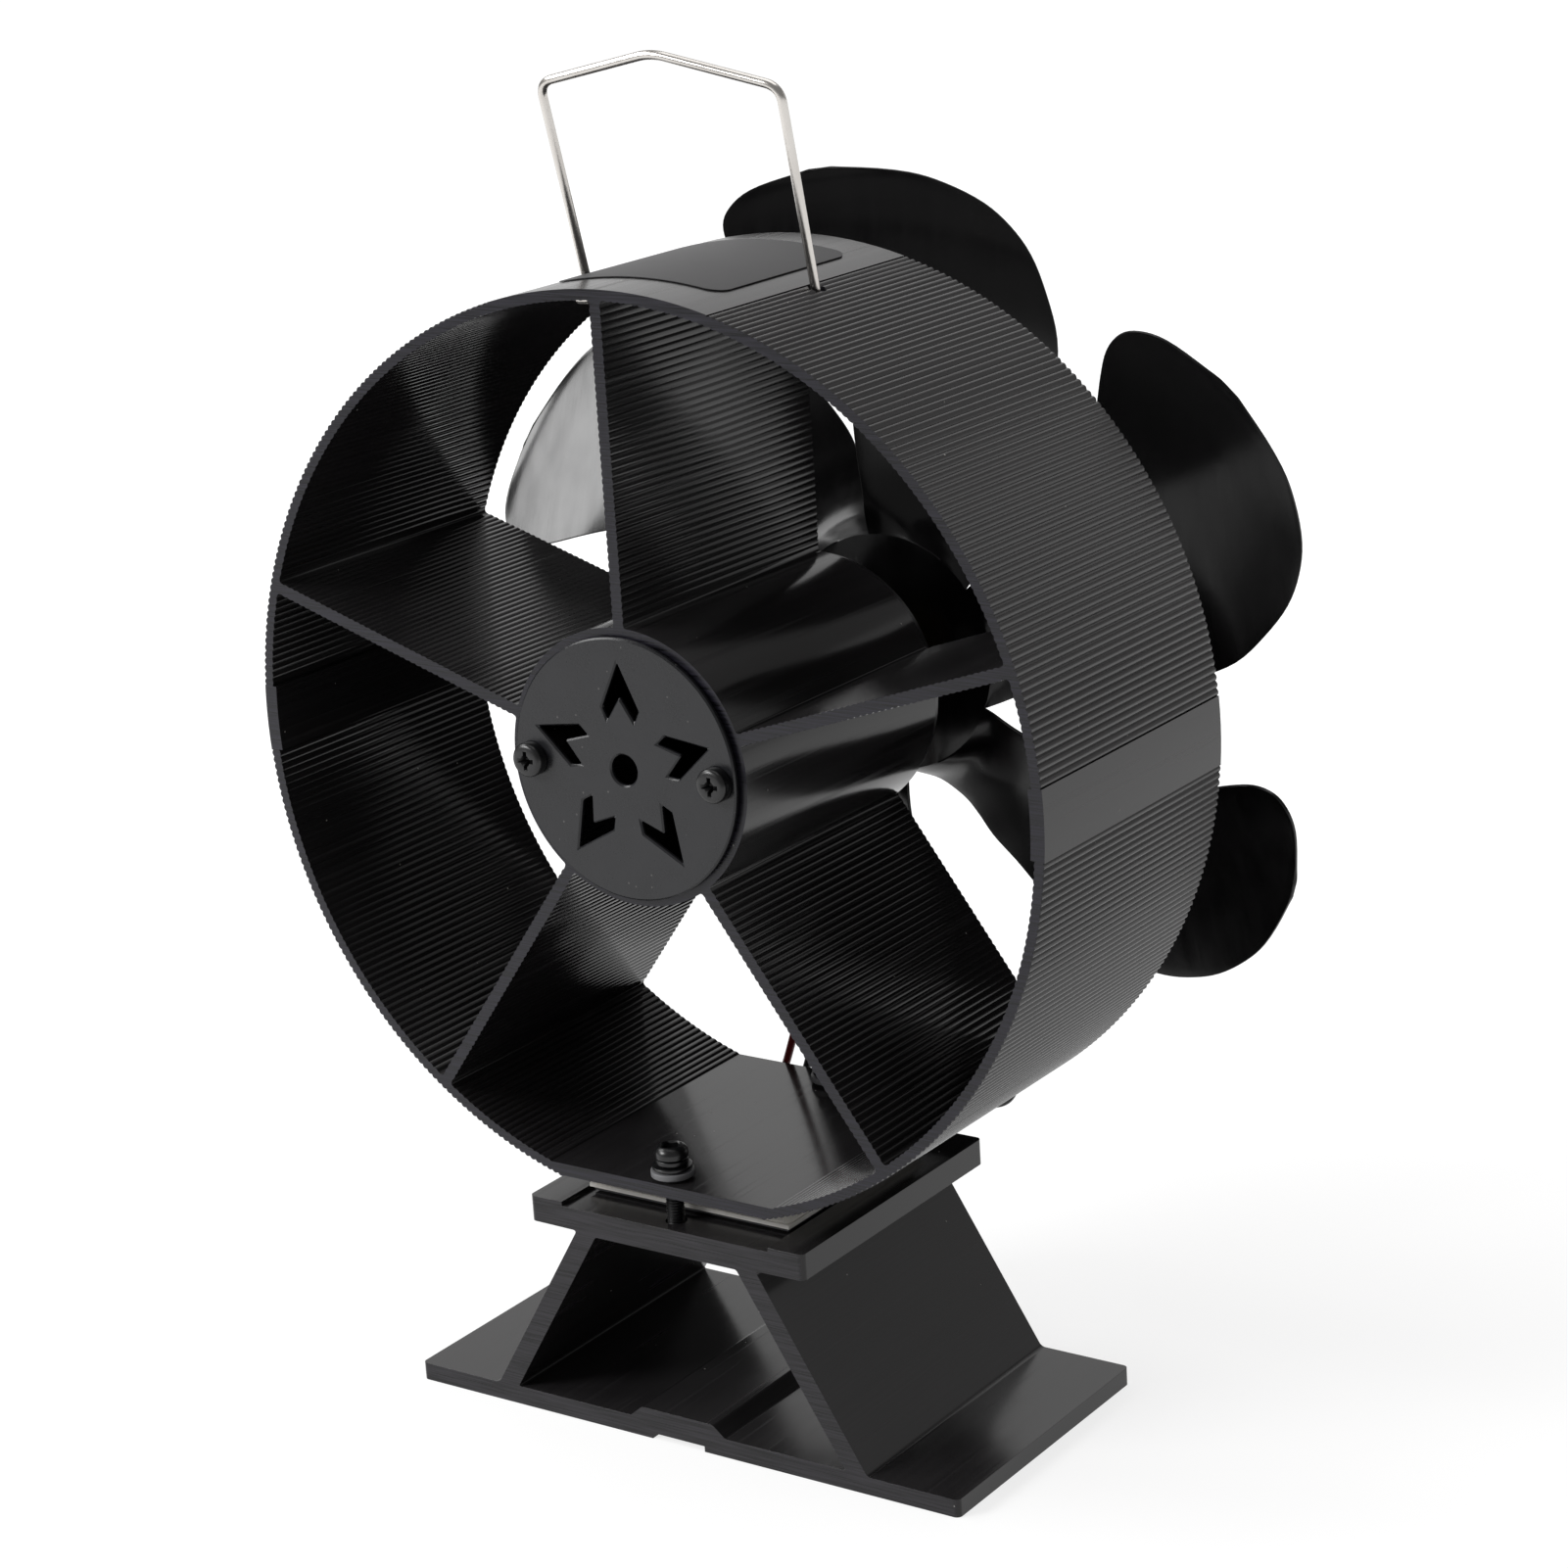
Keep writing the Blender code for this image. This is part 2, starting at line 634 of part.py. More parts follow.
def ribs(crest, start, end):
    """Ridges and grooves on the outside of a round wall from one angle to another, a ridge at both ends."""
    count = round(math.radians(end - start) * crest / RIB_PITCH)
    made = []
    for i in range(2 * count + 1):
        radius = crest if i % 2 == 0 else crest - RIB_DEPTH
        angle = math.radians(start + (end - start) * i / (2 * count))
        made.append((radius * math.cos(angle), radius * math.sin(angle)))
    return made


def outer_wall():
    """The outside of the ring: ribbed, with a flat below and smooth bands at the top and the sides."""
    flat_corner = math.degrees(math.acos(RING_FLAT / RING_RADIUS))
    side, top = SIDE_BAND_ANGLE, TOP_BAND_ANGLE
    left_end = 270 - flat_corner
    made = ribs(RING_RADIUS, flat_corner - 90, -side)
    for band_start, band_end, ribs_end in (
        (-side, side, 90 - top), (90 - top, 90 + top, 180 - side), (180 - side, 180 + side, left_end),
    ):
        made += arc(RING_RADIUS, band_start, band_end)[1:-1]
        made += ribs(RING_RADIUS, band_end, ribs_end)
    return made


def make_radiator():
    loops = [outer_wall(), hub_bore()]
    loops += [sector(90 + 360 / SPOKE_COUNT * (i - 1)) for i in range(SPOKE_COUNT)]
    loops += [circle(SCREW_SHANK + GAP, (side * SCREW_PORT_SPREAD, 0), 16) for side in (-1, 1)]
    lifted = [[(x, z + HUB_Z) for x, z in loop] for loop in loops]
    radiator = place(extruded("radiator", lifted, RING_FRONT, RING_BACK), BLACK_ANODISED)
    for end, side in (("front", -1), ("rear", 1)):
        low, high = RING_UNDERSIDE - OVERRUN, FLOOR_TOP + OVERRUN
        hole = rod(f"floor_hole_{end}", BUSH_SLEEVE_RADIUS + GAP, low, high, 0, side * CLAMP_SPREAD)
        cut(radiator, cutter(hole))
    for end, side in (("left", -1), ("right", 1)):
        hole = rod(f"handle_hole_{end}", HANDLE_HOLE, WALL_MIDDLE - OVERRUN, WALL_MIDDLE + OVERRUN)
        hole.rotation_euler = (0, side * math.asin(HANDLE_HALF / WALL_MIDDLE), 0)
        hole.location = (0, 0, HUB_Z)
        cut(radiator, cutter(hole))


# Clamp screws with their washers and bushes


def make_clamp(end, side):
    y = side * CLAMP_SPREAD
    bush_top = FLOOR_TOP + GAP + BUSH_FLANGE
    bore = CLAMP_SHANK + GAP
    profile = [
        (BUSH_RADIUS, bush_top), (BUSH_RADIUS, FLOOR_TOP + GAP), (BUSH_SLEEVE_RADIUS, FLOOR_TOP + GAP),
        (BUSH_SLEEVE_RADIUS, bush_top - BUSH_SLEEVE_DROP), (bore, bush_top - BUSH_SLEEVE_DROP),
        (bore, bush_top),
    ]
    washer_low = bush_top + GAP
    spring_low = washer_low + WASHER_THICK + GAP
    head_low = spring_low + SPRING_WASHER_THICK + GAP
    head_top = head_low + CLAMP_HEAD_RISE
    tip = TUNNEL_CEILING + CLAMP_SETBACK
    soft = CLAMP_HEAD_RISE / 4
    screw_profile = [
        (0, head_top), (CLAMP_HEAD_RADIUS - soft, head_top), (CLAMP_HEAD_RADIUS, head_top - soft),
        (CLAMP_HEAD_RADIUS, head_low), (CLAMP_SHANK, head_low), (CLAMP_SHANK, tip), (0, tip),
    ]
    split = SPRING_WASHER_SPLIT
    coil = arc(SPRING_WASHER_RADIUS, split / 2, 360 - split / 2, 22.0)
    coil += arc(bore, 360 - split / 2, split / 2, 22.0)
    coil_face = [(x, z + y) for x, z in coil]
    spring_high = spring_low + SPRING_WASHER_THICK
    place(extruded(f"spring_washer_{end}", [coil_face], spring_low, spring_high, "Z"), BLACK_STEEL)
    washer_profile = tube_profile(WASHER_RADIUS, bore, washer_low, washer_low + WASHER_THICK)
    washer = turned(f"clamp_washer_{end}", washer_profile, 18)
    bush = turned(f"insulating_bush_{end}", profile, 18)
    screw = turned(f"clamp_screw_{end}", screw_profile, 18)
    for obj, made_of in ((washer, BLACK_STEEL), (bush, NYLON), (screw, BLACK_STEEL)):
        obj.location = (0, y, 0)
        place(obj, made_of)
    socket_low = head_top - CLAMP_SOCKET_DEPTH
    socket = rod(f"socket_{end}", CLAMP_SOCKET_RADIUS, socket_low, head_top + OVERRUN, 0, y, 6)
    cut(screw, cutter(socket))


# Cover, motor plate and their screws


def chevron(angle):
    """One chevron slot of the star, pointing out at the given angle."""
    outer_end = (CHEVRON_OUTER_END_ALONG, CHEVRON_OUTER_END_ACROSS)
    inner_end = (CHEVRON_INNER_END_ALONG, CHEVRON_INNER_END_ACROSS)
    shape = [(CHEVRON_APEX, 0), outer_end, inner_end, (CHEVRON_INNER_APEX, 0)]
    shape += [(along, -across) for along, across in (inner_end, outer_end)]
    c, s = math.cos(math.radians(angle)), math.sin(math.radians(angle))
    return [(along * c - across * s, along * s + across * c) for along, across in shape]


def make_cover():
    loops = [circle(COVER_RADIUS, sides=64), circle(COVER_HOLE, sides=20)]
    loops += [circle(SCREW_SHANK + GAP, (side * SCREW_PORT_SPREAD, 0), 16) for side in (-1, 1)]
    loops += [chevron(90 + 360 / SPOKE_COUNT * i) for i in range(SPOKE_COUNT)]
    lifted = [[(x, z + HUB_Z) for x, z in loop] for loop in loops]
    back = RING_FRONT - GAP
    place(extruded("star_cover", lifted, back - COVER_THICK, back), BLACK_COVER)


def make_motor_plate():
    slot_low, slot_high = -LEAD_SLOT_BOTTOM, -LEAD_SLOT_TOP
    slot_half = LEAD_SLOT_WIDTH / 2
    slot = [(-slot_half, slot_low), (slot_half, slot_low), (slot_half, slot_high), (-slot_half, slot_high)]
    loops = [circle(PLATE_RADIUS, sides=48), circle(NOSE_RADIUS + GAP, sides=20), slot]
    for side in (-1, 1):
        loops.append(circle(SCREW_SHANK + GAP, (side * SCREW_PORT_SPREAD, 0), 16))
        loops.append(circle(MOTOR_SCREW_SHANK + GAP, (side * MOTOR_SCREW_SPREAD, 0), 12))
    lifted = [[(x, z + HUB_Z) for x, z in loop] for loop in loops]
    place(extruded("motor_plate", lifted, PLATE_FRONT, PLATE_BACK), BLACK_STEEL)


def pan_screw(name, shank, head, rise, length, cross):
    """A pan-head screw, its head's underside at zero height and its shank below."""
    profile = [(0, rise)]
    profile += [(head * math.sin(a), rise * math.cos(a) ** 0.5) for a in (0.45, 0.9, 1.25)]
    profile += [(head, rise * 0.25), (head, 0), (shank, 0), (shank, -length + shank / 3)]
    profile += [(shank * 2 / 3, -length), (0, -length)]
    screw = turned(name, profile, 16)
    tools = []
    for i, (half_x, half_y) in enumerate(((cross, CROSS_WIDTH), (CROSS_WIDTH, cross))):
        low = (-half_x / 2, -half_y / 2, rise - CROSS_DEPTH)
        tool = box(f"{name}_cross_{i}", low, (half_x / 2, half_y / 2, rise + OVERRUN))
        tools.append(tool)
        cut(screw, tool)
    return screw, tools


def put_screw(screw, tools, lay, at, across, up, made_of):
    lay(screw, at, across, up)
    place(screw, made_of)
    for tool in tools:
        lay(tool, at, across, up)
        cutter(tool)


def make_screws():
    for end, side in (("left", -1), ("right", 1)):
        across = side * SCREW_PORT_SPREAD
        front = RING_FRONT - 2 * GAP - COVER_THICK
        pan = (SCREW_SHANK, PAN_RADIUS, PAN_RISE, SCREW_LENGTH, CROSS_ARM)
        screw, tools = pan_screw(f"cover_screw_{end}", *pan)
        put_screw(screw, tools, facing_front, front, across, HUB_Z, BLACK_STEEL)
        screw, tools = pan_screw(f"plate_screw_{end}", *pan)
        put_screw(screw, tools, along_y, PLATE_BACK + GAP, across, HUB_Z, BLACK_STEEL)
        across = side * MOTOR_SCREW_SPREAD
        small = (MOTOR_SCREW_SHANK, MOTOR_SCREW_HEAD, MOTOR_SCREW_RISE, MOTOR_SCREW_LENGTH, MOTOR_CROSS_ARM)
        screw, tools = pan_screw(f"motor_screw_{end}", *small)
        put_screw(screw, tools, along_y, PLATE_BACK + GAP, across, HUB_Z, BRIGHT_STEEL)


# Motor


def make_motor_can():
    bore = BEARING_RADIUS + GAP
    inside = CAN_RADIUS - CAN_WALL
    back = CAN_LENGTH
    soft = CAN_WALL / 2
    profile = [
        (NOSE_RADIUS, back + NOSE_LENGTH), (NOSE_RADIUS, back), (CAN_RADIUS - soft, back),
        (CAN_RADIUS, back - soft), (CAN_RADIUS, 0), (inside, 0), (inside, back - CAN_WALL),
        (bore, back - CAN_WALL), (bore, back + NOSE_LENGTH),
    ]
    can = along_y(turned("motor_can", profile, 36), CAN_FRONT, 0, HUB_Z)
    place(can, BRIGHT_STEEL)
    for end, side in (("left", -1), ("right", 1)):
        reach = CAN_WALL + OVERRUN
        hole = rod(f"motor_hole_{end}", MOTOR_SCREW_SHANK + GAP, -reach, reach)
        along_y(hole, CAN_BACK, side * MOTOR_SCREW_SPREAD, HUB_Z)
        cut(can, cutter(hole))


def make_end_cap():
    bore = BEARING_RADIUS + GAP
    seat = CAN_RADIUS - CAN_WALL - GAP
    flange_back = -GAP
    flange_front = flange_back - CAP_FLANGE
    profile = [
        (seat, CAP_SPIGOT), (seat, flange_back), (CAN_RADIUS, flange_back), (CAN_RADIUS, flange_front),
        (CAP_BOSS_RADIUS, flange_front), (CAP_BOSS_RADIUS, flange_front - CAP_BOSS_LENGTH),
        (bore, flange_front - CAP_BOSS_LENGTH), (bore, CAP_SPIGOT),
    ]
    cap = along_y(turned("motor_end_cap", profile, 30), CAN_FRONT, 0, HUB_Z)
    place(cap, WHITE_PLASTIC)
    for end, side in (("left", -1), ("right", 1)):
        middle = side * TERMINAL_SPREAD
        half_x, half_z = TERMINAL_THICK / 2 + GAP, TERMINAL_WIDTH / 2 + GAP
        low = (middle - half_x, CAN_FRONT - CAP_FLANGE - OVERRUN, HUB_Z - half_z)
        high = (middle + half_x, CAN_FRONT + CAP_SPIGOT + OVERRUN, HUB_Z + half_z)
        cut(cap, cutter(box(f"terminal_slot_{end}", low, high)))


def make_terminal(end, side):
    """A brush terminal: a tab outside the cap whose inner end turns in toward the commutator."""
    front = CAN_FRONT - GAP - CAP_FLANGE - TERMINAL_OUT
    back = CAN_FRONT + CAP_SPIGOT + TERMINAL_IN
    inner = COMMUTATOR_RADIUS + GAP
    thick = TERMINAL_THICK
    edge = TERMINAL_SPREAD + thick / 2
    shape = [
        (edge, front), (edge, back + thick), (inner, back + thick), (inner, back), (edge - thick, back),
        (edge - thick, front),
    ]
    loop = [(side * x, y) for x, y in shape]
    half = TERMINAL_WIDTH / 2
    terminal = extruded(f"motor_terminal_{end}", [loop], HUB_Z - half, HUB_Z + half, "Z")
    place(terminal, COPPER)


def make_magnet(end, middle):
    outer = CAN_RADIUS - CAN_WALL - GAP
    inner = outer - MAGNET_THICK
    low, high = middle - MAGNET_HALF_ANGLE, middle + MAGNET_HALF_ANGLE
    loop = arc(outer, low, high, 8.0) + arc(inner, high, low, 8.0)
    back = CAN_BACK - CAN_WALL - GAP
    lifted = [(x, z + HUB_Z) for x, z in loop]
    place(extruded(f"motor_magnet_{end}", [lifted], back - MAGNET_LENGTH, back), FERRITE)


def armature_outline(radius):
    """Three curved poles with a slot between each pair."""
    core = radius * ARMATURE_CORE_SHARE
    half_slot = math.degrees(math.asin(ARMATURE_SLOT / 2 / radius))
    half_root = math.degrees(math.asin(ARMATURE_SLOT / 2 / core))
    pitch = 360 / ARMATURE_POLES
    made = []
    for i in range(ARMATURE_POLES):
        made += arc(radius, i * pitch + half_slot, (i + 1) * pitch - half_slot, 12.0)
        made += arc(core, (i + 1) * pitch - half_root, (i + 1) * pitch + half_root, 12.0)
    return made


def make_rotor():
    magnet_inner = CAN_RADIUS - CAN_WALL - GAP - MAGNET_THICK
    radius = magnet_inner - GAP
    bore = SHAFT_RADIUS + GAP
    back = CAN_BACK - CAN_WALL - GAP - (MAGNET_LENGTH - ARMATURE_LENGTH) / 2
    front = back - ARMATURE_LENGTH
    loops = [armature_outline(radius), circle(bore, sides=16)]
    place(extruded("motor_armature", loops, front, back), COPPER, FAN_PIVOT)
    commutator = turned("motor_commutator", tube_profile(COMMUTATOR_RADIUS, bore, 0, COMMUTATOR_LENGTH), 18)
    place(along_y(commutator, front - GAP - COMMUTATOR_LENGTH), BRASS, FAN_PIVOT)
    low = CAN_FRONT - GAP - CAP_FLANGE - CAP_BOSS_LENGTH - SHAFT_TAIL
    high = FAN_PLANE + FAN_SHEET + BOSS_SPIGOT
    soft = SHAFT_RADIUS / 4
    profile = [
        (0, high), (SHAFT_RADIUS - soft, high), (SHAFT_RADIUS, high - soft), (SHAFT_RADIUS, low + soft),
        (SHAFT_RADIUS - soft, low), (0, low),
    ]
    place(along_y(turned("motor_shaft", profile, 16)), BRIGHT_STEEL, FAN_PIVOT)


def make_bearings():
    middle_back = CAN_BACK - CAN_WALL + (CAN_WALL + NOSE_LENGTH) / 2
    middle_front = CAN_FRONT + (CAP_SPIGOT - GAP - CAP_FLANGE - CAP_BOSS_LENGTH) / 2
    for end, middle in (("front", middle_front), ("rear", middle_back)):
        half = BEARING_LENGTH / 2
        profile = tube_profile(BEARING_RADIUS, SHAFT_RADIUS + RUNNING_GAP, -half, half)
        place(along_y(turned(f"motor_bearing_{end}", profile, 16), middle, 0, HUB_Z), BRONZE)


# Fan


def edge_point(along, out, back):
    """An edge point of the tables as (angle in degrees, radius, distance behind the hub plate)."""
    angle = math.degrees(math.atan2(along, out))
    return angle, FAN_RADIUS * math.hypot(along, out), FAN_RADIUS * back


def blade_rows():
    """Rows of one sixth of the sheet from its bore to the tip, each as its two end points."""
    lead = SLOT_END_LEAD_ANGLE
    trail = lead - 360 / BLADE_COUNT
    middle = (FAN_BORE + FAN_FLAT_RADIUS) / 2
    rows = [((lead, radius, 0), (trail, radius, 0)) for radius in (FAN_BORE, middle, FAN_FLAT_RADIUS)]
    back = FAN_RADIUS * SLOT_END_BACK_SHARE
    rows.append(((lead, FAN_PLATE_RADIUS, back), (trail, FAN_PLATE_RADIUS, back)))
    rows += [(edge_point(*a), edge_point(*b)) for a, b in zip(LEADING_EDGE_SHARES, TRAILING_EDGE_SHARES)]
    return rows


def sheet_point(blade, angle, radius, back):
    """A point of the fan's sheet in the fan pivot's frame, for an angle measured in the blade's frame."""
    turn = math.radians(BLADE_PHASE + blade * 360 / BLADE_COUNT + angle)
    return (radius * math.cos(turn), FAN_PLANE + back, radius * math.sin(turn))


def fan_sheet(bm):
    """The sheet's middle surface: a ring plate round the bore that opens into six cambered blades."""
    rows = blade_rows()
    first_free = len(rows) - len(LEADING_EDGE_SHARES)
    for blade in range(BLADE_COUNT):
        grid = []
        for index, (lead, trail) in enumerate(rows):
            camber = FAN_RADIUS * BLADE_CAMBER_SHARE * min(max((index - first_free + 1) / 4, 0), 1)
            row = []
            for i in range(BLADE_COLUMNS + 1):
                t = i / BLADE_COLUMNS
                angle, radius, back = (a + (b - a) * t for a, b in zip(lead, trail))
                bulge = camber * 4 * t * (1 - t)
                row.append(bm.verts.new(sheet_point(blade, angle, radius, back + bulge)))
            grid.append(row)
        for low, high in zip(grid, grid[1:]):
            for i in range(BLADE_COLUMNS):
                bm.faces.new((low[i], low[i + 1], high[i + 1], high[i]))
    bmesh.ops.remove_doubles(bm, verts=bm.verts, dist=WELD)


def make_fan():
    fan = mesh_object("fan_blades", fan_sheet)
    thick = fan.modifiers.new("sheet", "SOLIDIFY")
    thick.thickness = FAN_SHEET
    thick.offset = 0
    place(fan, BLACK_PAINT, FAN_PIVOT)
    flange_back = FAN_PLANE - FAN_SHEET / 2 - GAP
    flange_front = flange_back - BOSS_FLANGE
    spigot_back = FAN_PLANE + BOSS_SPIGOT
    boss_front = flange_front - BOSS_LENGTH
    bore = SHAFT_RADIUS + GAP
    profile = [
        (BOSS_SPIGOT_RADIUS, spigot_back), (BOSS_SPIGOT_RADIUS, flange_back),
        (BOSS_FLANGE_RADIUS, flange_back), (BOSS_FLANGE_RADIUS, flange_front), (BOSS_RADIUS, flange_front),
        (BOSS_RADIUS, boss_front), (bore, boss_front), (bore, spigot_back),
    ]
    boss = place(along_y(turned("fan_boss", profile, 24)), BRASS, FAN_PIVOT)
    ring_low = FAN_PLANE + FAN_SHEET / 2 + GAP
    ring_high = ring_low + CLAMP_RING_THICK
    ring_profile = tube_profile(BOSS_FLANGE_RADIUS, BOSS_SPIGOT_RADIUS + GAP, ring_low, ring_high)
    place(along_y(turned("fan_clamp_ring", ring_profile, 24)), BRIGHT_STEEL, FAN_PIVOT)
    middle = boss_front + BOSS_LENGTH / 2
    hole = rod("grub_hole", GRUB_HOLE, 0, BOSS_RADIUS + OVERRUN, 0, middle, 16)
    cut(boss, cutter(hole, FAN_PIVOT))
    low = SHAFT_RADIUS + GAP
    grub = rod("fan_grub_screw", GRUB_RADIUS, low, low + GRUB_LENGTH, 0, middle, 16)
    place(grub, BLACK_STEEL, FAN_PIVOT)


# Handle


def bent(points, reach, count=5):
    """A path in one plane with each inner corner turned into a bend."""
    made = [points[0]]
    for before, corner, after in zip(points, points[1:], points[2:]):
        made += round_corner(before, corner, after, reach, count)
    return made + [points[-1]]


def wire(name, points, radius, resolution):
    curve = bpy.data.curves.new(name, "CURVE")
    curve.dimensions = "3D"
    curve.bevel_depth = radius
    curve.bevel_resolution = resolution
    curve.use_fill_caps = True
    spline = curve.splines.new("POLY")
    spline.points.add(len(points) - 1)
    for point, place_at in zip(spline.points, points):
        point.co = (*place_at, 1)
    return curve_to_mesh(bpy.data.objects.new(name, curve))


def make_handle():
    half, tail = HANDLE_HALF, HANDLE_HALF + HANDLE_TAIL
    corners = [
        (-tail, -HANDLE_TAIL_DROP), (-half, -HANDLE_TAIL_DROP), (-HANDLE_CORNER_HALF, HANDLE_CORNER),
        (0, HANDLE_PEAK), (HANDLE_CORNER_HALF, HANDLE_CORNER), (half, -HANDLE_TAIL_DROP),
        (tail, -HANDLE_TAIL_DROP),
    ]
    path = [(x, 0, z) for x, z in bent(corners, HANDLE_BEND)]
    handle = wire("carry_handle", path, WIRE_RADIUS, 3)
    handle.rotation_euler = (math.radians(HANDLE_LEAN), 0, 0)
    place(handle, STAINLESS, HANDLE_PIVOT)


# Blank label plate


def make_label():
    """A thin plate with round corners, wrapped on the ring's smooth top band."""
    inner = RING_RADIUS + RUNNING_GAP
    half_arc = math.radians(LABEL_HALF_ANGLE) * inner
    outline = rounded_plate(half_arc, LABEL_LENGTH / 2, LABEL_CORNER)
    label = extruded("label_plate", [outline], 0, LABEL_THICK, "Z")
    bm = bmesh.new()
    bm.from_mesh(label.data)
    for i in range(1, 8):
        cut_x = half_arc * (i / 4 - 1)
        whole = bm.verts[:] + bm.edges[:] + bm.faces[:]
        bmesh.ops.bisect_plane(bm, geom=whole, dist=WELD, plane_co=(cut_x, 0, 0), plane_no=(1, 0, 0))
    bmesh.ops.triangulate(bm, faces=bm.faces)
    for vertex in bm.verts:
        angle = vertex.co.x / inner
        radius = inner + vertex.co.z
        vertex.co = (radius * math.sin(angle), vertex.co.y + LABEL_SETBACK, radius * math.cos(angle))
    bm.to_mesh(label.data)
    bm.free()
    label.location = (0, 0, HUB_Z)
    place(label, LABEL_GREY)


# Leads


def smooth_path(points, steps=3):
    """A Catmull-Rom curve through the route's own points."""
    route = [Vector(point) for point in points]
    ends = [route[0]] + route + [route[-1]]
    made = [route[0]]
    for a, b, c, d in zip(ends, ends[1:], ends[2:], ends[3:]):
        for i in range(1, steps + 1):
            t = i / steps
            bend = (2 * a - 5 * b + 4 * c - d) * t**2 + (3 * b - a - 3 * c + d) * t**3
            made.append(b + (c - a) * t / 2 + bend / 2)
    return made


def make_lead(name, start_x, side, made_of):
    """One lead: out of the module's back edge, up behind the ring and in through the motor plate."""
    module_back = MODULE_SIZE / 2 + GAP
    clear = LEAD_RADIUS + GAP
    behind_ring = RING_BACK + 2 * clear
    behind_plate = PLATE_BACK + 2 * clear
    near_x = side * LEAD_SPREAD
    slot_z = HUB_Z - (LEAD_SLOT_TOP + LEAD_SLOT_BOTTOM) / 2
    tab_x = side * TERMINAL_SPREAD
    tab_y = CAN_FRONT - GAP - CAP_FLANGE - TERMINAL_OUT / 2
    tab_z = HUB_Z - TERMINAL_WIDTH / 2 - GAP
    rise = slot_z - LEAD_LEVEL
    route = [
        (start_x, module_back, LEAD_LEVEL),
        (start_x, (module_back + RING_BACK) / 2, LEAD_LEVEL),
        (start_x, behind_ring - clear / 2, LEAD_LEVEL + clear),
        (start_x + (near_x - start_x) * 0.20, behind_ring, LEAD_LEVEL + rise * 0.13),
        (start_x + (near_x - start_x) * 0.62, behind_ring + clear / 2, LEAD_LEVEL + rise * 0.45),
        (near_x, behind_plate, LEAD_LEVEL + rise * 0.86),
        (near_x, behind_plate, slot_z - 2 * clear),
        (near_x, PLATE_BACK, slot_z),
        (near_x, (PLATE_FRONT + CAN_FRONT) / 2, slot_z),
        (near_x, CAN_FRONT - clear, slot_z),
        (near_x + (tab_x - near_x) * 0.7, tab_y, slot_z + (tab_z - slot_z) * 0.4),
        (tab_x, tab_y, tab_z - 3 * clear),
        (tab_x, tab_y, tab_z),
    ]
    place(wire(name, smooth_path(route), LEAD_RADIUS, 2), made_of)


def depth_limits(name):
    """The front and back of one object that isn't turned out of the axes."""
    graph = bpy.context.evaluated_depsgraph_get()
    obj = bpy.data.objects[name].evaluated_get(graph)
    depths = [(obj.matrix_world @ Vector(corner)).y for corner in obj.bound_box]
    return min(depths), max(depths)


def centre_depth():
    """Moves the whole object so that the origin is under the middle of its depth."""
    front = depth_limits("cover_screw_left")[0]
    back = depth_limits("fan_blades")[1]
    ROOT.location = (0, -(front + back) / 2, 0)


make_base()
make_bimetal()
make_module()
make_radiator()
make_clamp("front", -1)
make_clamp("rear", 1)
make_cover()
make_motor_plate()
make_screws()
make_motor_can()
make_end_cap()
make_terminal("left", -1)
make_terminal("right", 1)
make_magnet("top", 90)
make_magnet("bottom", 270)
make_bearings()
make_rotor()
make_fan()
make_handle()
make_label()
make_lead("red_lead", RED_LEAD_START, -1, RED_SLEEVE)
make_lead("black_lead", BLACK_LEAD_START, 1, BLACK_SLEEVE)
centre_depth()
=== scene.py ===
"""Looks of the stove fan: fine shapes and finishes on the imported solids, which stay where they are.
Metres, +Z up, the star cover faces -Y. Pieces are made about the middle of the ring's depth."""

import math

import bmesh
import bpy
from mathutils import Matrix, Vector


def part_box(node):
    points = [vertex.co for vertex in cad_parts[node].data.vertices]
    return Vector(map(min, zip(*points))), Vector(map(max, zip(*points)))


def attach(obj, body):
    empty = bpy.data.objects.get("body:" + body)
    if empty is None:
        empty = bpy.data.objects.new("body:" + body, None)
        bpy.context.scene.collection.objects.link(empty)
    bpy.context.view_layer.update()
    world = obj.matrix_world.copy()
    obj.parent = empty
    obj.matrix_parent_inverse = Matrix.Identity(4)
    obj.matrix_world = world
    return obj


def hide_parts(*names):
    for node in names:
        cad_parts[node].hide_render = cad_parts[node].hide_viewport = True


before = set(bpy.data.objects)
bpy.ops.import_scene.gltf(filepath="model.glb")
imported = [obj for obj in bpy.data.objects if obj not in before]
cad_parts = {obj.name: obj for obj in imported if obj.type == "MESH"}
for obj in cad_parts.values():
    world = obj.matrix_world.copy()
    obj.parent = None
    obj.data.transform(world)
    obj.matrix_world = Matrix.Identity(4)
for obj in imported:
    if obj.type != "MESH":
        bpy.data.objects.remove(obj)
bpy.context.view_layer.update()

# Camera of the photograph
CAMERA_AT = (0.34921, -0.491465, 0.28344)
CAMERA_AZIMUTH = 35.41
CAMERA_ELEVATION = 16.76
CAMERA_ROLL = -3.56
CAMERA_LENS = 87.56
CAMERA_SENSOR = 36.0

# Studio, with each lamp as its place, its two sides and its power
LAMPS = {
    "key_left": ((-0.73, -0.89, 0.67), (0.46, 0.42), 10.5),
    "left_high": ((-0.97, -0.25, 0.95), (0.6, 0.5), 5.5),
    "top_soft": ((0.0, 0.15, 1.15), (0.9, 0.9), 4.0),
    "back_soft": ((-0.55, 1.18, 0.62), (1.8, 0.95), 3.6),
    "back_right": ((0.80, 0.95, 0.42), (0.8, 0.6), 0.4),
}
LAMP_AIM = (0, 0, 0.11)
STUDIO_COLOUR = (1.0, 0.99, 0.985, 1.0)
STUDIO_STRENGTH = 0.28
FLOOR_HALF = 20.0
FLOOR_GREY = (0.30, 0.30, 0.30, 1.0)

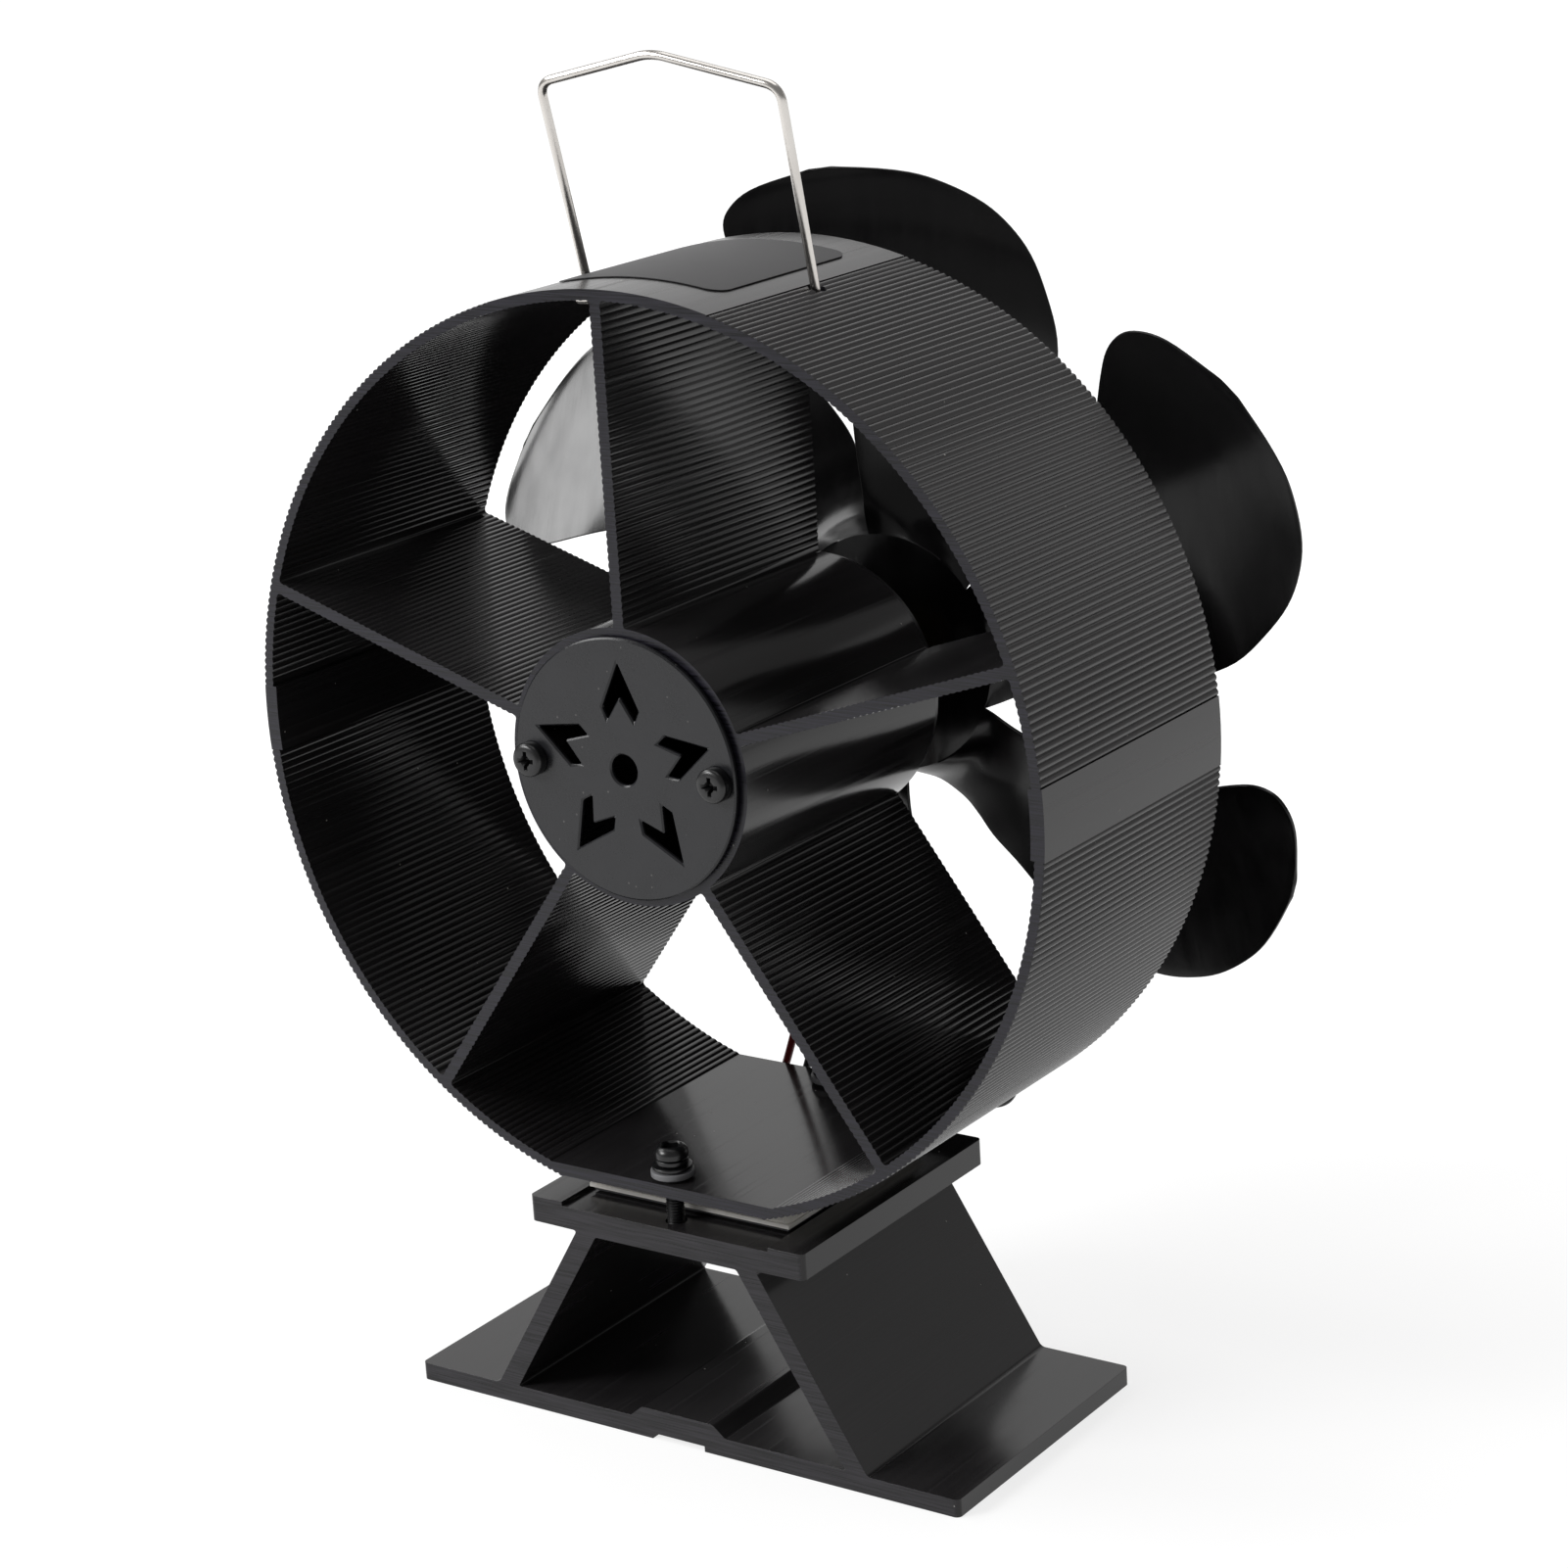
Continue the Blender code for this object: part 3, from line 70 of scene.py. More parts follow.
# How the floor's glow runs: where it starts to change and where it ends, and the glow at both
GLOW_WITH_DISTANCE = (0.10, 0.45, 0.76, 0.94)
GLOW_FROM_FRONT = (-0.80, -0.50, 0.28, 1.0)

# Ring radiator
RING_WALL = 0.0018
RING_FLAT_CUT = 0.00265
FLOOR_THICK = 0.00255
SPOKE_COUNT = 5
SPOKE_THICK = 0.0021
SPOKE_FILLET = 0.0009
HUB_RADIUS = 0.0225
HUB_BORE = 0.0203
SIDE_BAND_ANGLE = 4.3
SIDE_BAND_EXTRA = 0.0006
TOP_BAND_ANGLE = 16.0
RIB_PITCH = 0.0012
RIB_DEPTH = 0.00030
INNER_RIB_DEPTH = 0.00017
RIB_STEPS = 6
SCREW_PORT_SPREAD = 0.0178
SCREW_PORT_RADIUS = 0.0037
SCREW_HOLE = 0.0018
BUSH_HOLE = 0.0026
HANDLE_HOLE = 0.0015
HANDLE_HALF = 0.0219

# Base extrusion
BASE_PLATE = 0.0031
TOP_WIDTH = 0.0546
TUNNEL_FLOOR = 0.0033
TUNNEL_ROOF = 0.0051
TOP_PLATE = 0.0046
TOP_PLATE_EDGE = 0.0045
LEG_FOOT = 0.0373
LEG_HEAD = 0.0179
LEG_WALL_FOOT = 0.0042
LEG_WALL_HEAD = 0.0038
RECESS_WIDTH = 0.0412
RECESS_DEPTH = 0.0007
RIDGE_FOOT = 0.0096
RIDGE_CROWN = 0.0072
RIDGE_RISE = 0.0020
GROOVE_HALF = 0.00525
GROOVE_DEPTH = 0.0010
BASE_EDGE_ROUND = 0.0004
BASE_CORNER_ROUND = 0.0010
BASE_HOLE = 0.0018

# Star cover
COVER_SIDES = 144
COVER_HOLE = 0.0025
CHEVRON_APEX = 0.0173
CHEVRON_INNER_APEX = 0.0118
CHEVRON_OUTER_END = (0.00985, 0.00355)
CHEVRON_INNER_END = (0.0079, 0.0026)

# Fasteners, with each pan head's shank radius, height and size of cross
LARGE_PAN = (0.0015, 0.0019, 1.0)
SMALL_PAN = (0.0010, 0.0011, 0.62)
CROSS_ARM = 0.0034
CROSS_WIDTH = 0.00080
CROSS_DEPTH = 0.0014
CROSS_WELL = 0.0011
CROSS_TAPER = 0.55
WELL_TAPER = 0.3
SOCKET_RADIUS = 0.0017
SOCKET_DEPTH = 0.0011
SOCKET_MOUTH = 0.00022
CLAMP_SHANK = 0.0015
SPRING_SPLIT = 14.0
SPRING_STEPS = 72
THREAD_PITCH_SHARE = 0.33
THREAD_ROOT_SHARE = 0.80
THREAD_FLATS = (0.2, 0.55, 0.65)
SLEEVE_RADIUS = 0.0023
FLANGE_THICK = 0.0010

# Rounds of the heads: the socket head's in shares of its height, the pan head's in shares of its
# radius and its height
HEAD_ROUND = [(0.30, 1.0), (0.52, 0.96), (0.72, 0.86), (0.87, 0.70), (0.96, 0.52), (1.0, 0.34)]
PAN_ROUND = [(0.50, 1.0), (0.70, 0.985), (0.82, 0.95), (0.91, 0.87), (0.97, 0.75), (1.0, 0.60)]

# Softened edges: their width, their steps and the least angle of an edge that is softened
BASE_SOFT = (0.00016, 3, 32.0)
SEAL_SOFT = (0.0004, 4, 32.0)
SPLIT_WASHER_SOFT = (0.00014, 3, 40.0)
WASHER_SOFT = (0.00012, 3, 32.0)
BUSH_SOFT = (0.00015, 3, 32.0)
COVER_CHAMFER = (0.00026, 1, 32.0)
PLATE_SOFT = (0.00014, 3, 32.0)
PAN_SOFT = (0.00006, 2, 65.0)
BLADE_SOFT = (0.00015, 2, 50.0)
BOSS_SOFT = (0.00018, 3, 32.0)
CLAMP_RING_SOFT = (0.00020, 3, 32.0)

# Motor plate and fan hub
PLATE_SIDES = 120
NOSE_HOLE = 0.0045
MOTOR_SCREW_SPREAD = 0.0080
MOTOR_SCREW_HOLE = 0.0013
LEAD_SLOT_HALF = 0.0037
LEAD_SLOT_TOP = 0.0142
LEAD_SLOT_BOTTOM = 0.0188
BOSS_RADIUS = 0.0050
BOSS_FLANGE = 0.0010
BOSS_SPIGOT_RADIUS = 0.0034
SHAFT_HOLE = 0.0013
GRUB_HOLE = 0.0014

# Six-blade sheet
FAN_RADIUS = 0.0820
BLADE_COUNT = 6
BLADE_PHASE = 108.3
FAN_SHEET = 0.0006
FAN_BORE = 0.0037
FAN_FLAT_RADIUS = 0.0140
FAN_PLATE_RADIUS = 0.0205
SLOT_END_LEAD_ANGLE = -11.0
SLOT_END_BACK_SHARE = 0.006
BLADE_CAMBER_SHARE = 0.013
BLADE_COLUMNS = 14
BLADE_STEPS = 4
BLADE_SWELL_POINTS = 4
FAN_FLAT_ROWS = 4

# Blade edges as (along, out, back), in shares of the fan's radius
LEADING_EDGE_SHARES = [
    (-0.052, 0.268, 0.004), (-0.060, 0.299, 0.000), (-0.070, 0.335, 0.000), (-0.079, 0.384, 0.000),
    (-0.095, 0.445, -0.002), (-0.111, 0.506, -0.005), (-0.111, 0.573, -0.011), (-0.094, 0.646, -0.020),
    (-0.065, 0.720, -0.028), (-0.037, 0.780, -0.038), (-0.006, 0.841, -0.048), (0.015, 0.895, -0.056),
    (0.013, 0.941, -0.057), (-0.012, 0.971, -0.049), (-0.061, 0.990, -0.032), (-0.146, 0.991, 0.001),
    (-0.186, 0.988, 0.015),
]
TRAILING_EDGE_SHARES = [
    (-0.245, 0.096, 0.030), (-0.263, 0.128, 0.073), (-0.296, 0.171, 0.103), (-0.336, 0.200, 0.128),
    (-0.378, 0.234, 0.142), (-0.421, 0.293, 0.152), (-0.460, 0.351, 0.152), (-0.504, 0.420, 0.148),
    (-0.542, 0.506, 0.145), (-0.551, 0.598, 0.144), (-0.546, 0.683, 0.142), (-0.524, 0.751, 0.136),
    (-0.489, 0.812, 0.124), (-0.429, 0.875, 0.102), (-0.369, 0.919, 0.080), (-0.262, 0.967, 0.043),
    (-0.224, 0.981, 0.029),
]

# Carry handle, label plate and leads
WIRE_RADIUS = 0.00075
HANDLE_CORNER_HALF = 0.0226
HANDLE_CORNER = 0.0330
HANDLE_PEAK = 0.0380
HANDLE_TAIL_DROP = 0.0032
HANDLE_TAIL = 0.0026
HANDLE_BEND = 0.0026
HANDLE_BEND_STEPS = 12
HANDLE_LEAN = 13.0
LABEL_HALF_ANGLE = 12.2
LABEL_THICK = 0.00012
LABEL_CORNER = 0.0030
LABEL_SLICES = 32
RUNNING_GAP = 0.0001
LEAD_RADIUS = 0.0007
LEAD_RISE = 0.0026
RED_LEAD_START = -0.0150
BLACK_LEAD_START = -0.0105
LEAD_SPREAD = 0.0016

# Bends of a lead, as shares of its way across and up behind the ring, and of its way to the terminal
LEAD_LOW_BEND = (0.20, 0.13)
LEAD_HIGH_BEND = (0.62, 0.45)
LEAD_TOP_BEND = 0.86
LEAD_TAB_BEND = (0.7, 0.4)
LEAD_STEPS = 10

# Seal of the module
SEAL_INSET = 0.0004
SEAL_WIDTH = 0.0012

# Making of the meshes
SMOOTH_ANGLE = 34
FLAT_ANGLE = 0.5
HOLE_SIDES = 48
SMALL_HOLE_SIDES = 40
LEAST_HOLE_SIDES = 32
CORNER_REACH_LIMIT = 0.45
OVERRUN = 0.002
GAP = 0.0003
WELD = 0.00001
SLIVER = 0.000001

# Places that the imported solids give
RING_LOW, RING_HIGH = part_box("radiator")
BASE_LOW, BASE_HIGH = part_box("base")
COVER_LOW, COVER_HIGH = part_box("star_cover")
MODULE_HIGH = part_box("module_cold_ceramic")[1]
MIDDLE_Y = (RING_LOW.y + RING_HIGH.y) / 2
HUB_Z = (COVER_LOW.z + COVER_HIGH.z) / 2
RING_RADIUS = RING_HIGH.x
RING_INNER = RING_RADIUS - RING_WALL
RING_FLAT = RING_RADIUS - RING_FLAT_CUT
RING_BACK = (RING_HIGH.y - RING_LOW.y) / 2
RING_UNDERSIDE = HUB_Z - RING_FLAT
FLOOR_TOP = RING_UNDERSIDE + FLOOR_THICK
BASE_HALF = BASE_HIGH.x
BASE_BACK = (BASE_HIGH.y - BASE_LOW.y) / 2
BASE_HEIGHT = BASE_HIGH.z
RECESS_FLOOR = BASE_HEIGHT - RECESS_DEPTH
TUNNEL_CEILING = BASE_HEIGHT - TUNNEL_ROOF
WALL_MIDDLE = RING_RADIUS - RING_WALL / 2
HANDLE_AXIS_Z = HUB_Z + math.sqrt(WALL_MIDDLE**2 - HANDLE_HALF**2)


# Shader nodes


class Number:
    """A shader value that can stand in a Python sum. Each sum adds its own Math node."""

    def __init__(self, finish, socket):
        self.finish = finish
        self.socket = socket

    def __add__(self, other):
        return self.finish.math("ADD", self, other)

    def __radd__(self, other):
        return self.finish.math("ADD", other, self)

    def __sub__(self, other):
        return self.finish.math("SUBTRACT", self, other)

    def __rsub__(self, other):
        return self.finish.math("SUBTRACT", other, self)

    def __mul__(self, other):
        return self.finish.math("MULTIPLY", self, other)

    def __rmul__(self, other):
        return self.finish.math("MULTIPLY", other, self)

    def between(self, low, high):
        """0 up to low, 1 from high, and a soft step between the two."""
        return self.ramp(low, high, 0.0, 1.0, "SMOOTHSTEP")

    def ramp(self, low, high, first, last, course="LINEAR"):
        """Runs from first to last while the value runs from low to high."""
        limits = {"Value": self, "From Min": low, "From Max": high, "To Min": first, "To Max": last}
        return self.finish.number("ShaderNodeMapRange", {"interpolation_type": course}, limits)


class Finish:
    """One material: its Principled shader and short ways to add the nodes that feed it."""

    def __init__(self, name, fixed=None):
        self.material = bpy.data.materials.new(name)
        self.material.use_nodes = True
        self.tree = self.material.node_tree
        self.shader = self.tree.nodes["Principled BSDF"]
        for socket, value in (fixed or {}).items():
            self.shader.inputs[socket].default_value = value
        self.where = self.add("ShaderNodeTexCoord", output="Object")

    def add(self, kind, settings=None, feeds=None, output=0):
        """A node with its settings made first, then its sockets' values or links. Gives one output."""
        node = self.tree.nodes.new(kind)
        for name, value in (settings or {}).items():
            setattr(node, name, value)
        for socket, value in (feeds or {}).items():
            self.feed(node.inputs[socket], value)
        return node.outputs[output]

    def feed(self, socket, value):
        value = value.socket if isinstance(value, Number) else value
        if isinstance(value, bpy.types.NodeSocket):
            self.tree.links.new(value, socket)
        else:
            socket.default_value = value

    def number(self, kind, settings=None, feeds=None, output=0):
        return Number(self, self.add(kind, settings, feeds, output))

    def math(self, operation, first, second):
        return self.number("ShaderNodeMath", {"operation": operation}, {0: first, 1: second})

    def stretched(self, size, stretch):
        """Texture coordinates in which a feature of the given size is one unit, drawn out by stretch."""
        scale = [1 / (size * s) for s in stretch]
        return self.add("ShaderNodeMapping", None, {"Vector": self.where, "Scale": scale})

    def noise(self, size, stretch=(1, 1, 1), detail=2.0):
        """A cloud from 0 to 1, in features of the given size that are drawn out by stretch."""
        feeds = {"Vector": self.stretched(size, stretch), "Scale": 1.0, "Detail": detail}
        return self.number("ShaderNodeTexNoise", None, feeds, "Fac")

    def specks(self, spacing, radius, share):
        """Small dots, at most one in each cell of the given spacing, of which only a share shows."""
        feeds = {"Vector": self.stretched(spacing, (1, 1, 1)), "Scale": 1.0}
        cells = self.add("ShaderNodeTexVoronoi", None, feeds).node.outputs
        chance = self.number("ShaderNodeSeparateColor", None, {"Color": cells["Color"]}, "Red")
        reach = radius / spacing
        dot = 1 - Number(self, cells["Distance"]).between(reach * 0.6, reach)
        return dot * chance.between(1 - share, 1.001 - share)

    def facing(self, axis):
        """How squarely the surface faces along one axis, from 0 to 1."""
        normal = self.add("ShaderNodeTexCoord", output="Normal")
        part = self.add("ShaderNodeSeparateXYZ", None, {"Vector": normal}, axis)
        return self.number("ShaderNodeMath", {"operation": "ABSOLUTE"}, {0: part})

    def colour(self, share, first, second):
        """A mix of two colours: the first where share is 0, the second where it is 1."""
        first = first if isinstance(first, bpy.types.NodeSocket) else (*first, 1.0)
        second = second if isinstance(second, bpy.types.NodeSocket) else (*second, 1.0)
        return self.add("ShaderNodeMix", {"data_type": "RGBA"}, {0: share, 6: first, 7: second}, 2)

    def surface(self, colour, roughness, height=None, depth=0.0, metallic=None):
        """Feeds the shader, with a bump of the given depth in metres where there is a height."""
        self.feed(self.shader.inputs["Base Color"], colour)
        self.feed(self.shader.inputs["Roughness"], roughness)
        if metallic is not None:
            self.feed(self.shader.inputs["Metallic"], metallic)
        if height is not None:
            feeds = {"Strength": 1.0, "Distance": depth, "Height": height}
            self.feed(self.shader.inputs["Normal"], self.add("ShaderNodeBump", None, feeds))
        return self.material


# Finishes
EVEN = (1, 1, 1)
METAL = {"Metallic": 1.0}


def anodised_extrusion(name, end_colour, gloss, dulling_and_painted_light):
    """Black anodised aluminium: drawn lines along Y on its sides, saw lines on its cut ends."""
    f = Finish(name, {"Specular IOR Level": 0.36})
    ends = f.facing("Y").between(0.80, 0.95)
    drawn = f.noise(0.00060, (1, 130, 1), 1.0)
    broad = f.noise(0.0035, (1, 16, 1))
    die_lines = f.noise(0.0011, (1, 110, 1)).between(0.60, 0.66)
    sawn = f.noise(0.00026, (42, 1, 1), 3.0).between(0.30, 0.70)
    dust = f.specks(0.0050, 0.00017, 0.55)
    dull_and_painted_light = dulling_and_painted_light(f)
    streaks = drawn * 0.55 + broad * 0.45
    sides = f.colour(streaks, (0.0085, 0.0078, 0.0083), (0.0240, 0.0226, 0.0236))
    # Sides turn lighter by the last argument's mask: painted light on the ring's outer face, random
    # duller patches on the base.
    sides = f.colour(dull_and_painted_light * 0.45 + die_lines * 0.25, sides, (0.034, 0.032, 0.033))
    cut_face = f.colour(sawn, tuple(0.20 * c for c in end_colour), tuple(2.0 * c for c in end_colour))
    clean = f.colour(ends, sides, cut_face)
    colour = f.colour(dust * 0.8, clean, (0.50, 0.49, 0.46))
    side_roughness = gloss + 0.09 * drawn + 0.05 * broad + 0.07 * die_lines + 0.09 * dull_and_painted_light
    roughness = side_roughness * (1 - ends) + ends * (0.26 + 0.12 * sawn) + 0.4 * dust
    height = drawn * (1 - ends) * 0.08 + sawn * ends
    return f.surface(colour, roughness, height, 0.000008)


def ring_outside_painted_light(f):
    """1 on the ring's outer face and 0 on everything inside it. There the sides get a duller roughness
    and a lighter colour, and the lighter colour is painted light on the ring's lit outside.
    """
    parts = f.add("ShaderNodeSeparateXYZ", None, {"Vector": f.where}).node.outputs
    across, up = Number(f, parts["X"]), Number(f, parts["Z"]) - HUB_Z
    square = across * across + up * up
    return square.between((RING_RADIUS - RING_WALL * 0.6) ** 2, (RING_RADIUS - RING_WALL * 0.4) ** 2)


def patches_on_base(f):
    """A slow cloud of duller patches all over the base."""
    return f.noise(0.012, (1, 2, 1)).between(0.45, 0.70) * 0.5


def blade_paint():
    """Semi-gloss black on rolled sheet: faint peel, fine rolling lines and a little dust."""
    f = Finish("blade_paint", {"Specular IOR Level": 0.30})
    peel = f.noise(0.0012)
    rolled = f.noise(0.00030, (1, 60, 60))
    cloud = f.noise(0.0026, (1, 1, 7))
    dust = f.specks(0.0080, 0.00015, 0.50)
    clean = f.colour(cloud, (0.0020, 0.0019, 0.0021), (0.0048, 0.0045, 0.0049))
    colour = f.colour(dust * 0.5, clean, (0.22, 0.22, 0.21))
    roughness = 0.10 + 0.06 * rolled + 0.12 * cloud + 0.3 * dust
    return f.surface(colour, roughness, peel * 0.6 + rolled * 0.4, 0.000006)


def cover_coat():
    """Fine satin powder coat on the pressed cover."""
    f = Finish("cover_coat", {"Specular IOR Level": 0.42})
    grain = f.noise(0.00045)
    cloud = f.noise(0.006, detail=3.0)
    nibs = f.specks(0.0024, 0.00020, 0.80)
    clean = f.colour(cloud, (0.006, 0.0062, 0.0078), (0.022, 0.0223, 0.025))
    colour = f.colour(nibs * 0.30, clean, (0.30, 0.29, 0.28))
    return f.surface(colour, 0.17 + 0.10 * grain + 0.14 * cloud, grain + nibs * 0.8, 0.000020)


def black_oxide():
    """Blackened steel fastener, oiled, with bright rubs here and there."""
    f = Finish("black_oxide", {"Specular IOR Level": 0.5})
    cloud = f.noise(0.0009, detail=3.0)
    rub = f.noise(0.00030, detail=4.0).between(0.62, 0.74)
    colour = f.colour(rub * 0.4, (0.0050, 0.0050, 0.0056), (0.06, 0.058, 0.056))
    return f.surface(colour, 0.25 + 0.12 * cloud, cloud, 0.000008, rub * 0.2)


def plain_finish(name, fixed, shades, grain, cloud, roughness, depth):
    """Two shades that run into each other in a broad cloud, and a fine grain that stands up by depth.

    The grain and the cloud are each a noise's size, stretch and detail, and where cloud is None the
    grain takes its place. Roughness is the least one, then what the grain and the cloud add to it."""
    f = Finish(name, fixed)
    fine = f.noise(*grain)
    broad = f.noise(*cloud) if cloud else fine
    rough, with_grain, with_cloud = roughness
    if with_grain:
        rough = rough + with_grain * fine
    if with_cloud:
        rough = rough + with_cloud * broad
    return f.surface(f.colour(broad, *shades), rough, fine, depth)


def turned_metal(name, dark, light):
    """Brass, bronze or copper with faint tool marks and patches of tarnish."""
    marks, tarnish = (0.00012, EVEN, 2.0), (0.0018, EVEN, 4.0)
    return plain_finish(name, METAL, (dark, light), marks, tarnish, (0.24, 0, 0.22), 0.000010)


def silicone_sleeve(name, dark, light):
    """Extruded silicone on a lead: faint rings and a waxy shine."""
    fixed, rings = {"Specular IOR Level": 0.45}, (0.0005, (1, 1, 0.5), 3.0)
    return plain_finish(name, fixed, (dark, light), rings, None, (0.34, 0.14, 0), 0.000015)


def fired_ceramic():
    """White ceramic with a fine grain and a few stained patches."""
    f = Finish("fired_ceramic", {"Specular IOR Level": 0.4})
    grain = f.noise(0.00016, detail=3.0)
    stain = f.noise(0.005, detail=3.0).between(0.45, 0.75)
    colour = f.colour(stain, (0.84, 0.82, 0.78), (0.72, 0.69, 0.63))
    return f.surface(colour, 0.52 + 0.14 * grain, grain, 0.000012)


def soft_matte(name, dark, light, grain_size, roughness):
    """Matte plastic, rubber, ferrite or graphite: two near shades and a fine grain."""
    f = Finish(name, {"Specular IOR Level": 0.4})
    grain = f.noise(grain_size, detail=3.0)
    cloud = f.noise(18 * grain_size)
    colour = f.colour(cloud * 0.7 + grain * 0.3, dark, light)
    return f.surface(colour, roughness + 0.12 * grain, grain, grain_size * 0.06)


# On the ring, the outer face gets a lighter colour as painted light.
RADIATOR_BLACK = anodised_extrusion("radiator_black", (0.0095, 0.0088, 0.0135), 0.075, ring_outside_painted_light)
BASE_BLACK = anodised_extrusion("base_black", (0.0150, 0.0138, 0.0165), 0.095, patches_on_base)
BLADE_PAINT = blade_paint()
COVER_COAT = cover_coat()
BLACK_OXIDE = black_oxide()
# Bright stainless wire with die lines along it
DRAWN_WIRE = plain_finish(
    "drawn_wire", METAL, ((0.50, 0.47, 0.44), (0.70, 0.68, 0.65)),
    (0.00012, (1, 1, 90), 2.0), (0.004, (1, 1, 2), 2.0), (0.15, 0.12, 0.06), 0.000006,
)
# Zinc on turned or drawn steel
PLATED_STEEL = plain_finish(
    "plated_steel", METAL, ((0.46, 0.46, 0.46), (0.62, 0.62, 0.63)),
    (0.00014, (1, 30, 1), 2.0), (0.0016, EVEN, 3.0), (0.20, 0.08, 0.16), 0.000008,
)
BRASS = turned_metal("turned_brass", (0.40, 0.26, 0.09), (0.66, 0.47, 0.20))
COPPER = turned_metal("enamelled_copper", (0.36, 0.13, 0.06), (0.60, 0.27, 0.14))
BRONZE = turned_metal("oiled_bronze", (0.22, 0.12, 0.05), (0.42, 0.26, 0.12))
FIRED_CERAMIC = fired_ceramic()
# Pale silicone pressed between the two ceramics, a little uneven
SEALANT = plain_finish(
    "module_sealant", {"Specular IOR Level": 0.35}, ((0.70, 0.68, 0.63), (0.86, 0.84, 0.79)),
    (0.0011, (1, 1, 0.6), 3.0), None, (0.45, 0.18, 0), 0.00006,
)
GRAPHITE = soft_matte("graphite_sheet", (0.030, 0.030, 0.032), (0.060, 0.060, 0.064), 0.00020, 0.50)
FERRITE = soft_matte("ferrite_magnet", (0.045, 0.045, 0.048), (0.085, 0.085, 0.090), 0.00018, 0.62)
WHITE_PLASTIC = soft_matte("white_cap", (0.62, 0.62, 0.59), (0.74, 0.74, 0.72), 0.00022, 0.38)
GREY_BUSH = soft_matte("grey_bush", (0.13, 0.13, 0.135), (0.20, 0.20, 0.21), 0.00020, 0.40)
# Satin foil
LABEL_FOIL = plain_finish(
    "label_foil", {"Specular IOR Level": 0.34}, ((0.024, 0.0235, 0.025), (0.034, 0.033, 0.035)),
    (0.00013, EVEN, 2.0), (0.006, EVEN, 2.0), (0.42, 0.10, 0.05), 0.000006,
)
RED_SLEEVE = silicone_sleeve("red_sleeve", (0.16, 0.008, 0.009), (0.30, 0.020, 0.018))
BLACK_SLEEVE = silicone_sleeve("black_sleeve", (0.012, 0.012, 0.013), (0.026, 0.026, 0.027))
# Two-layer strip with rolling lines along Y and a straw heat tint
ROLLED_STRIP = plain_finish(
    "rolled_strip", METAL, ((0.42, 0.37, 0.28), (0.50, 0.49, 0.47)),
    (0.00014, (1, 120, 1), 3.0), (0.009, (1, 2, 1), 2.0), (0.26, 0.16, 0), 0.000010,
)


# Shapes


def link(obj):
    bpy.context.scene.collection.objects.link(obj)


def edited(obj, edit):
    """The object after edit(bm) has worked on its mesh."""
    bm = bmesh.new()
    bm.from_mesh(obj.data)
    edit(bm)
    bm.to_mesh(obj.data)
    bm.free()
    return obj


def mesh_object(name, build):
    """An object whose mesh is filled by build(bm)."""

    def fill(bm):
        build(bm)
        bmesh.ops.recalc_face_normals(bm, faces=bm.faces)

    return edited(bpy.data.objects.new(name, bpy.data.meshes.new(name)), fill)


def applied(obj):
    """The object with its modifiers or its curve made into a plain mesh, at the origin."""
    if not obj.users_collection:
        link(obj)
    graph = bpy.context.evaluated_depsgraph_get()
    mesh = bpy.data.meshes.new_from_object(obj.evaluated_get(graph))
    mesh.transform(obj.matrix_world)
    name = obj.name
    bpy.data.objects.remove(obj, do_unlink=True)
    mesh.name = name
    return bpy.data.objects.new(name, mesh)


def welded(obj):
    """The object with its doubled points joined and its faces turned outward."""

    def weld(bm):
        bmesh.ops.remove_doubles(bm, verts=bm.verts, dist=WELD)
        bmesh.ops.recalc_face_normals(bm, faces=bm.faces)

    return edited(obj, weld)


def extruded(name, loops, low, high, along="Y"):
    """A flat outline with holes, filled and run from low to high along Y or Z."""
    curve = bpy.data.curves.new(name, "CURVE")
    curve.dimensions = "2D"
    curve.fill_mode = "BOTH"
    curve.extrude = (high - low) / 2
    for loop in loops:
        spline = curve.splines.new("POLY")
        spline.points.add(len(loop) - 1)
        for point, (across, up) in zip(spline.points, loop):
            point.co = (across, up, 0, 1)
        spline.use_cyclic_u = True
    obj = bpy.data.objects.new(name, curve)
    if along == "Z":
        obj.matrix_world = Matrix.Translation((0, 0, (high + low) / 2))
    else:
        upright = Matrix.Rotation(math.radians(90), 4, "X")
        obj.matrix_world = upright @ Matrix.Translation((0, 0, -(high + low) / 2))
    return welded(applied(obj))


def turned(name, profile, steps=72):
    """A profile of (radius, height) points, running down its outer side, turned about Z."""

    def build(bm):
        points = [bm.verts.new((radius, 0, height)) for radius, height in profile]
        closed = [] if profile[0][0] == 0 else [(points[-1], points[0])]
        for ends in list(zip(points, points[1:])) + closed:
            bm.edges.new(ends)
        everything = bm.verts[:] + bm.edges[:]
        bmesh.ops.spin(bm, geom=everything, axis=(0, 0, 1), cent=(0, 0, 0), angle=math.tau, steps=steps)
        bmesh.ops.remove_doubles(bm, verts=bm.verts, dist=WELD)

    return mesh_object(name, build)


def tube_profile(outer, inner, bottom, top):
    return [(outer, top), (outer, bottom), (inner, bottom), (inner, top)]


def moved(obj, matrix):
    obj.data.transform(matrix)
    return obj


def laid(obj, angle, at, across, up):
    """Tips an upright piece by an angle about X and sets its zero height at y = at."""
    tip = Matrix.Rotation(math.radians(angle), 4, "X")
    return moved(obj, Matrix.Translation((across, at, up)) @ tip)


def along_y(obj, at, across, up):
    return laid(obj, -90, at, across, up)


def facing_front(obj, at, across, up):
    return laid(obj, 90, at, across, up)


def rod(name, radius, low, high, across=0.0, depth=0.0, sides=HOLE_SIDES):
    """An upright cylinder from low to high."""

    def build(bm):
        at = Matrix.Translation((across, depth, (low + high) / 2))
        size = {"radius1": radius, "radius2": radius, "depth": high - low}
        bmesh.ops.create_cone(bm, cap_ends=True, segments=sides, matrix=at, **size)

    return mesh_object(name, build)


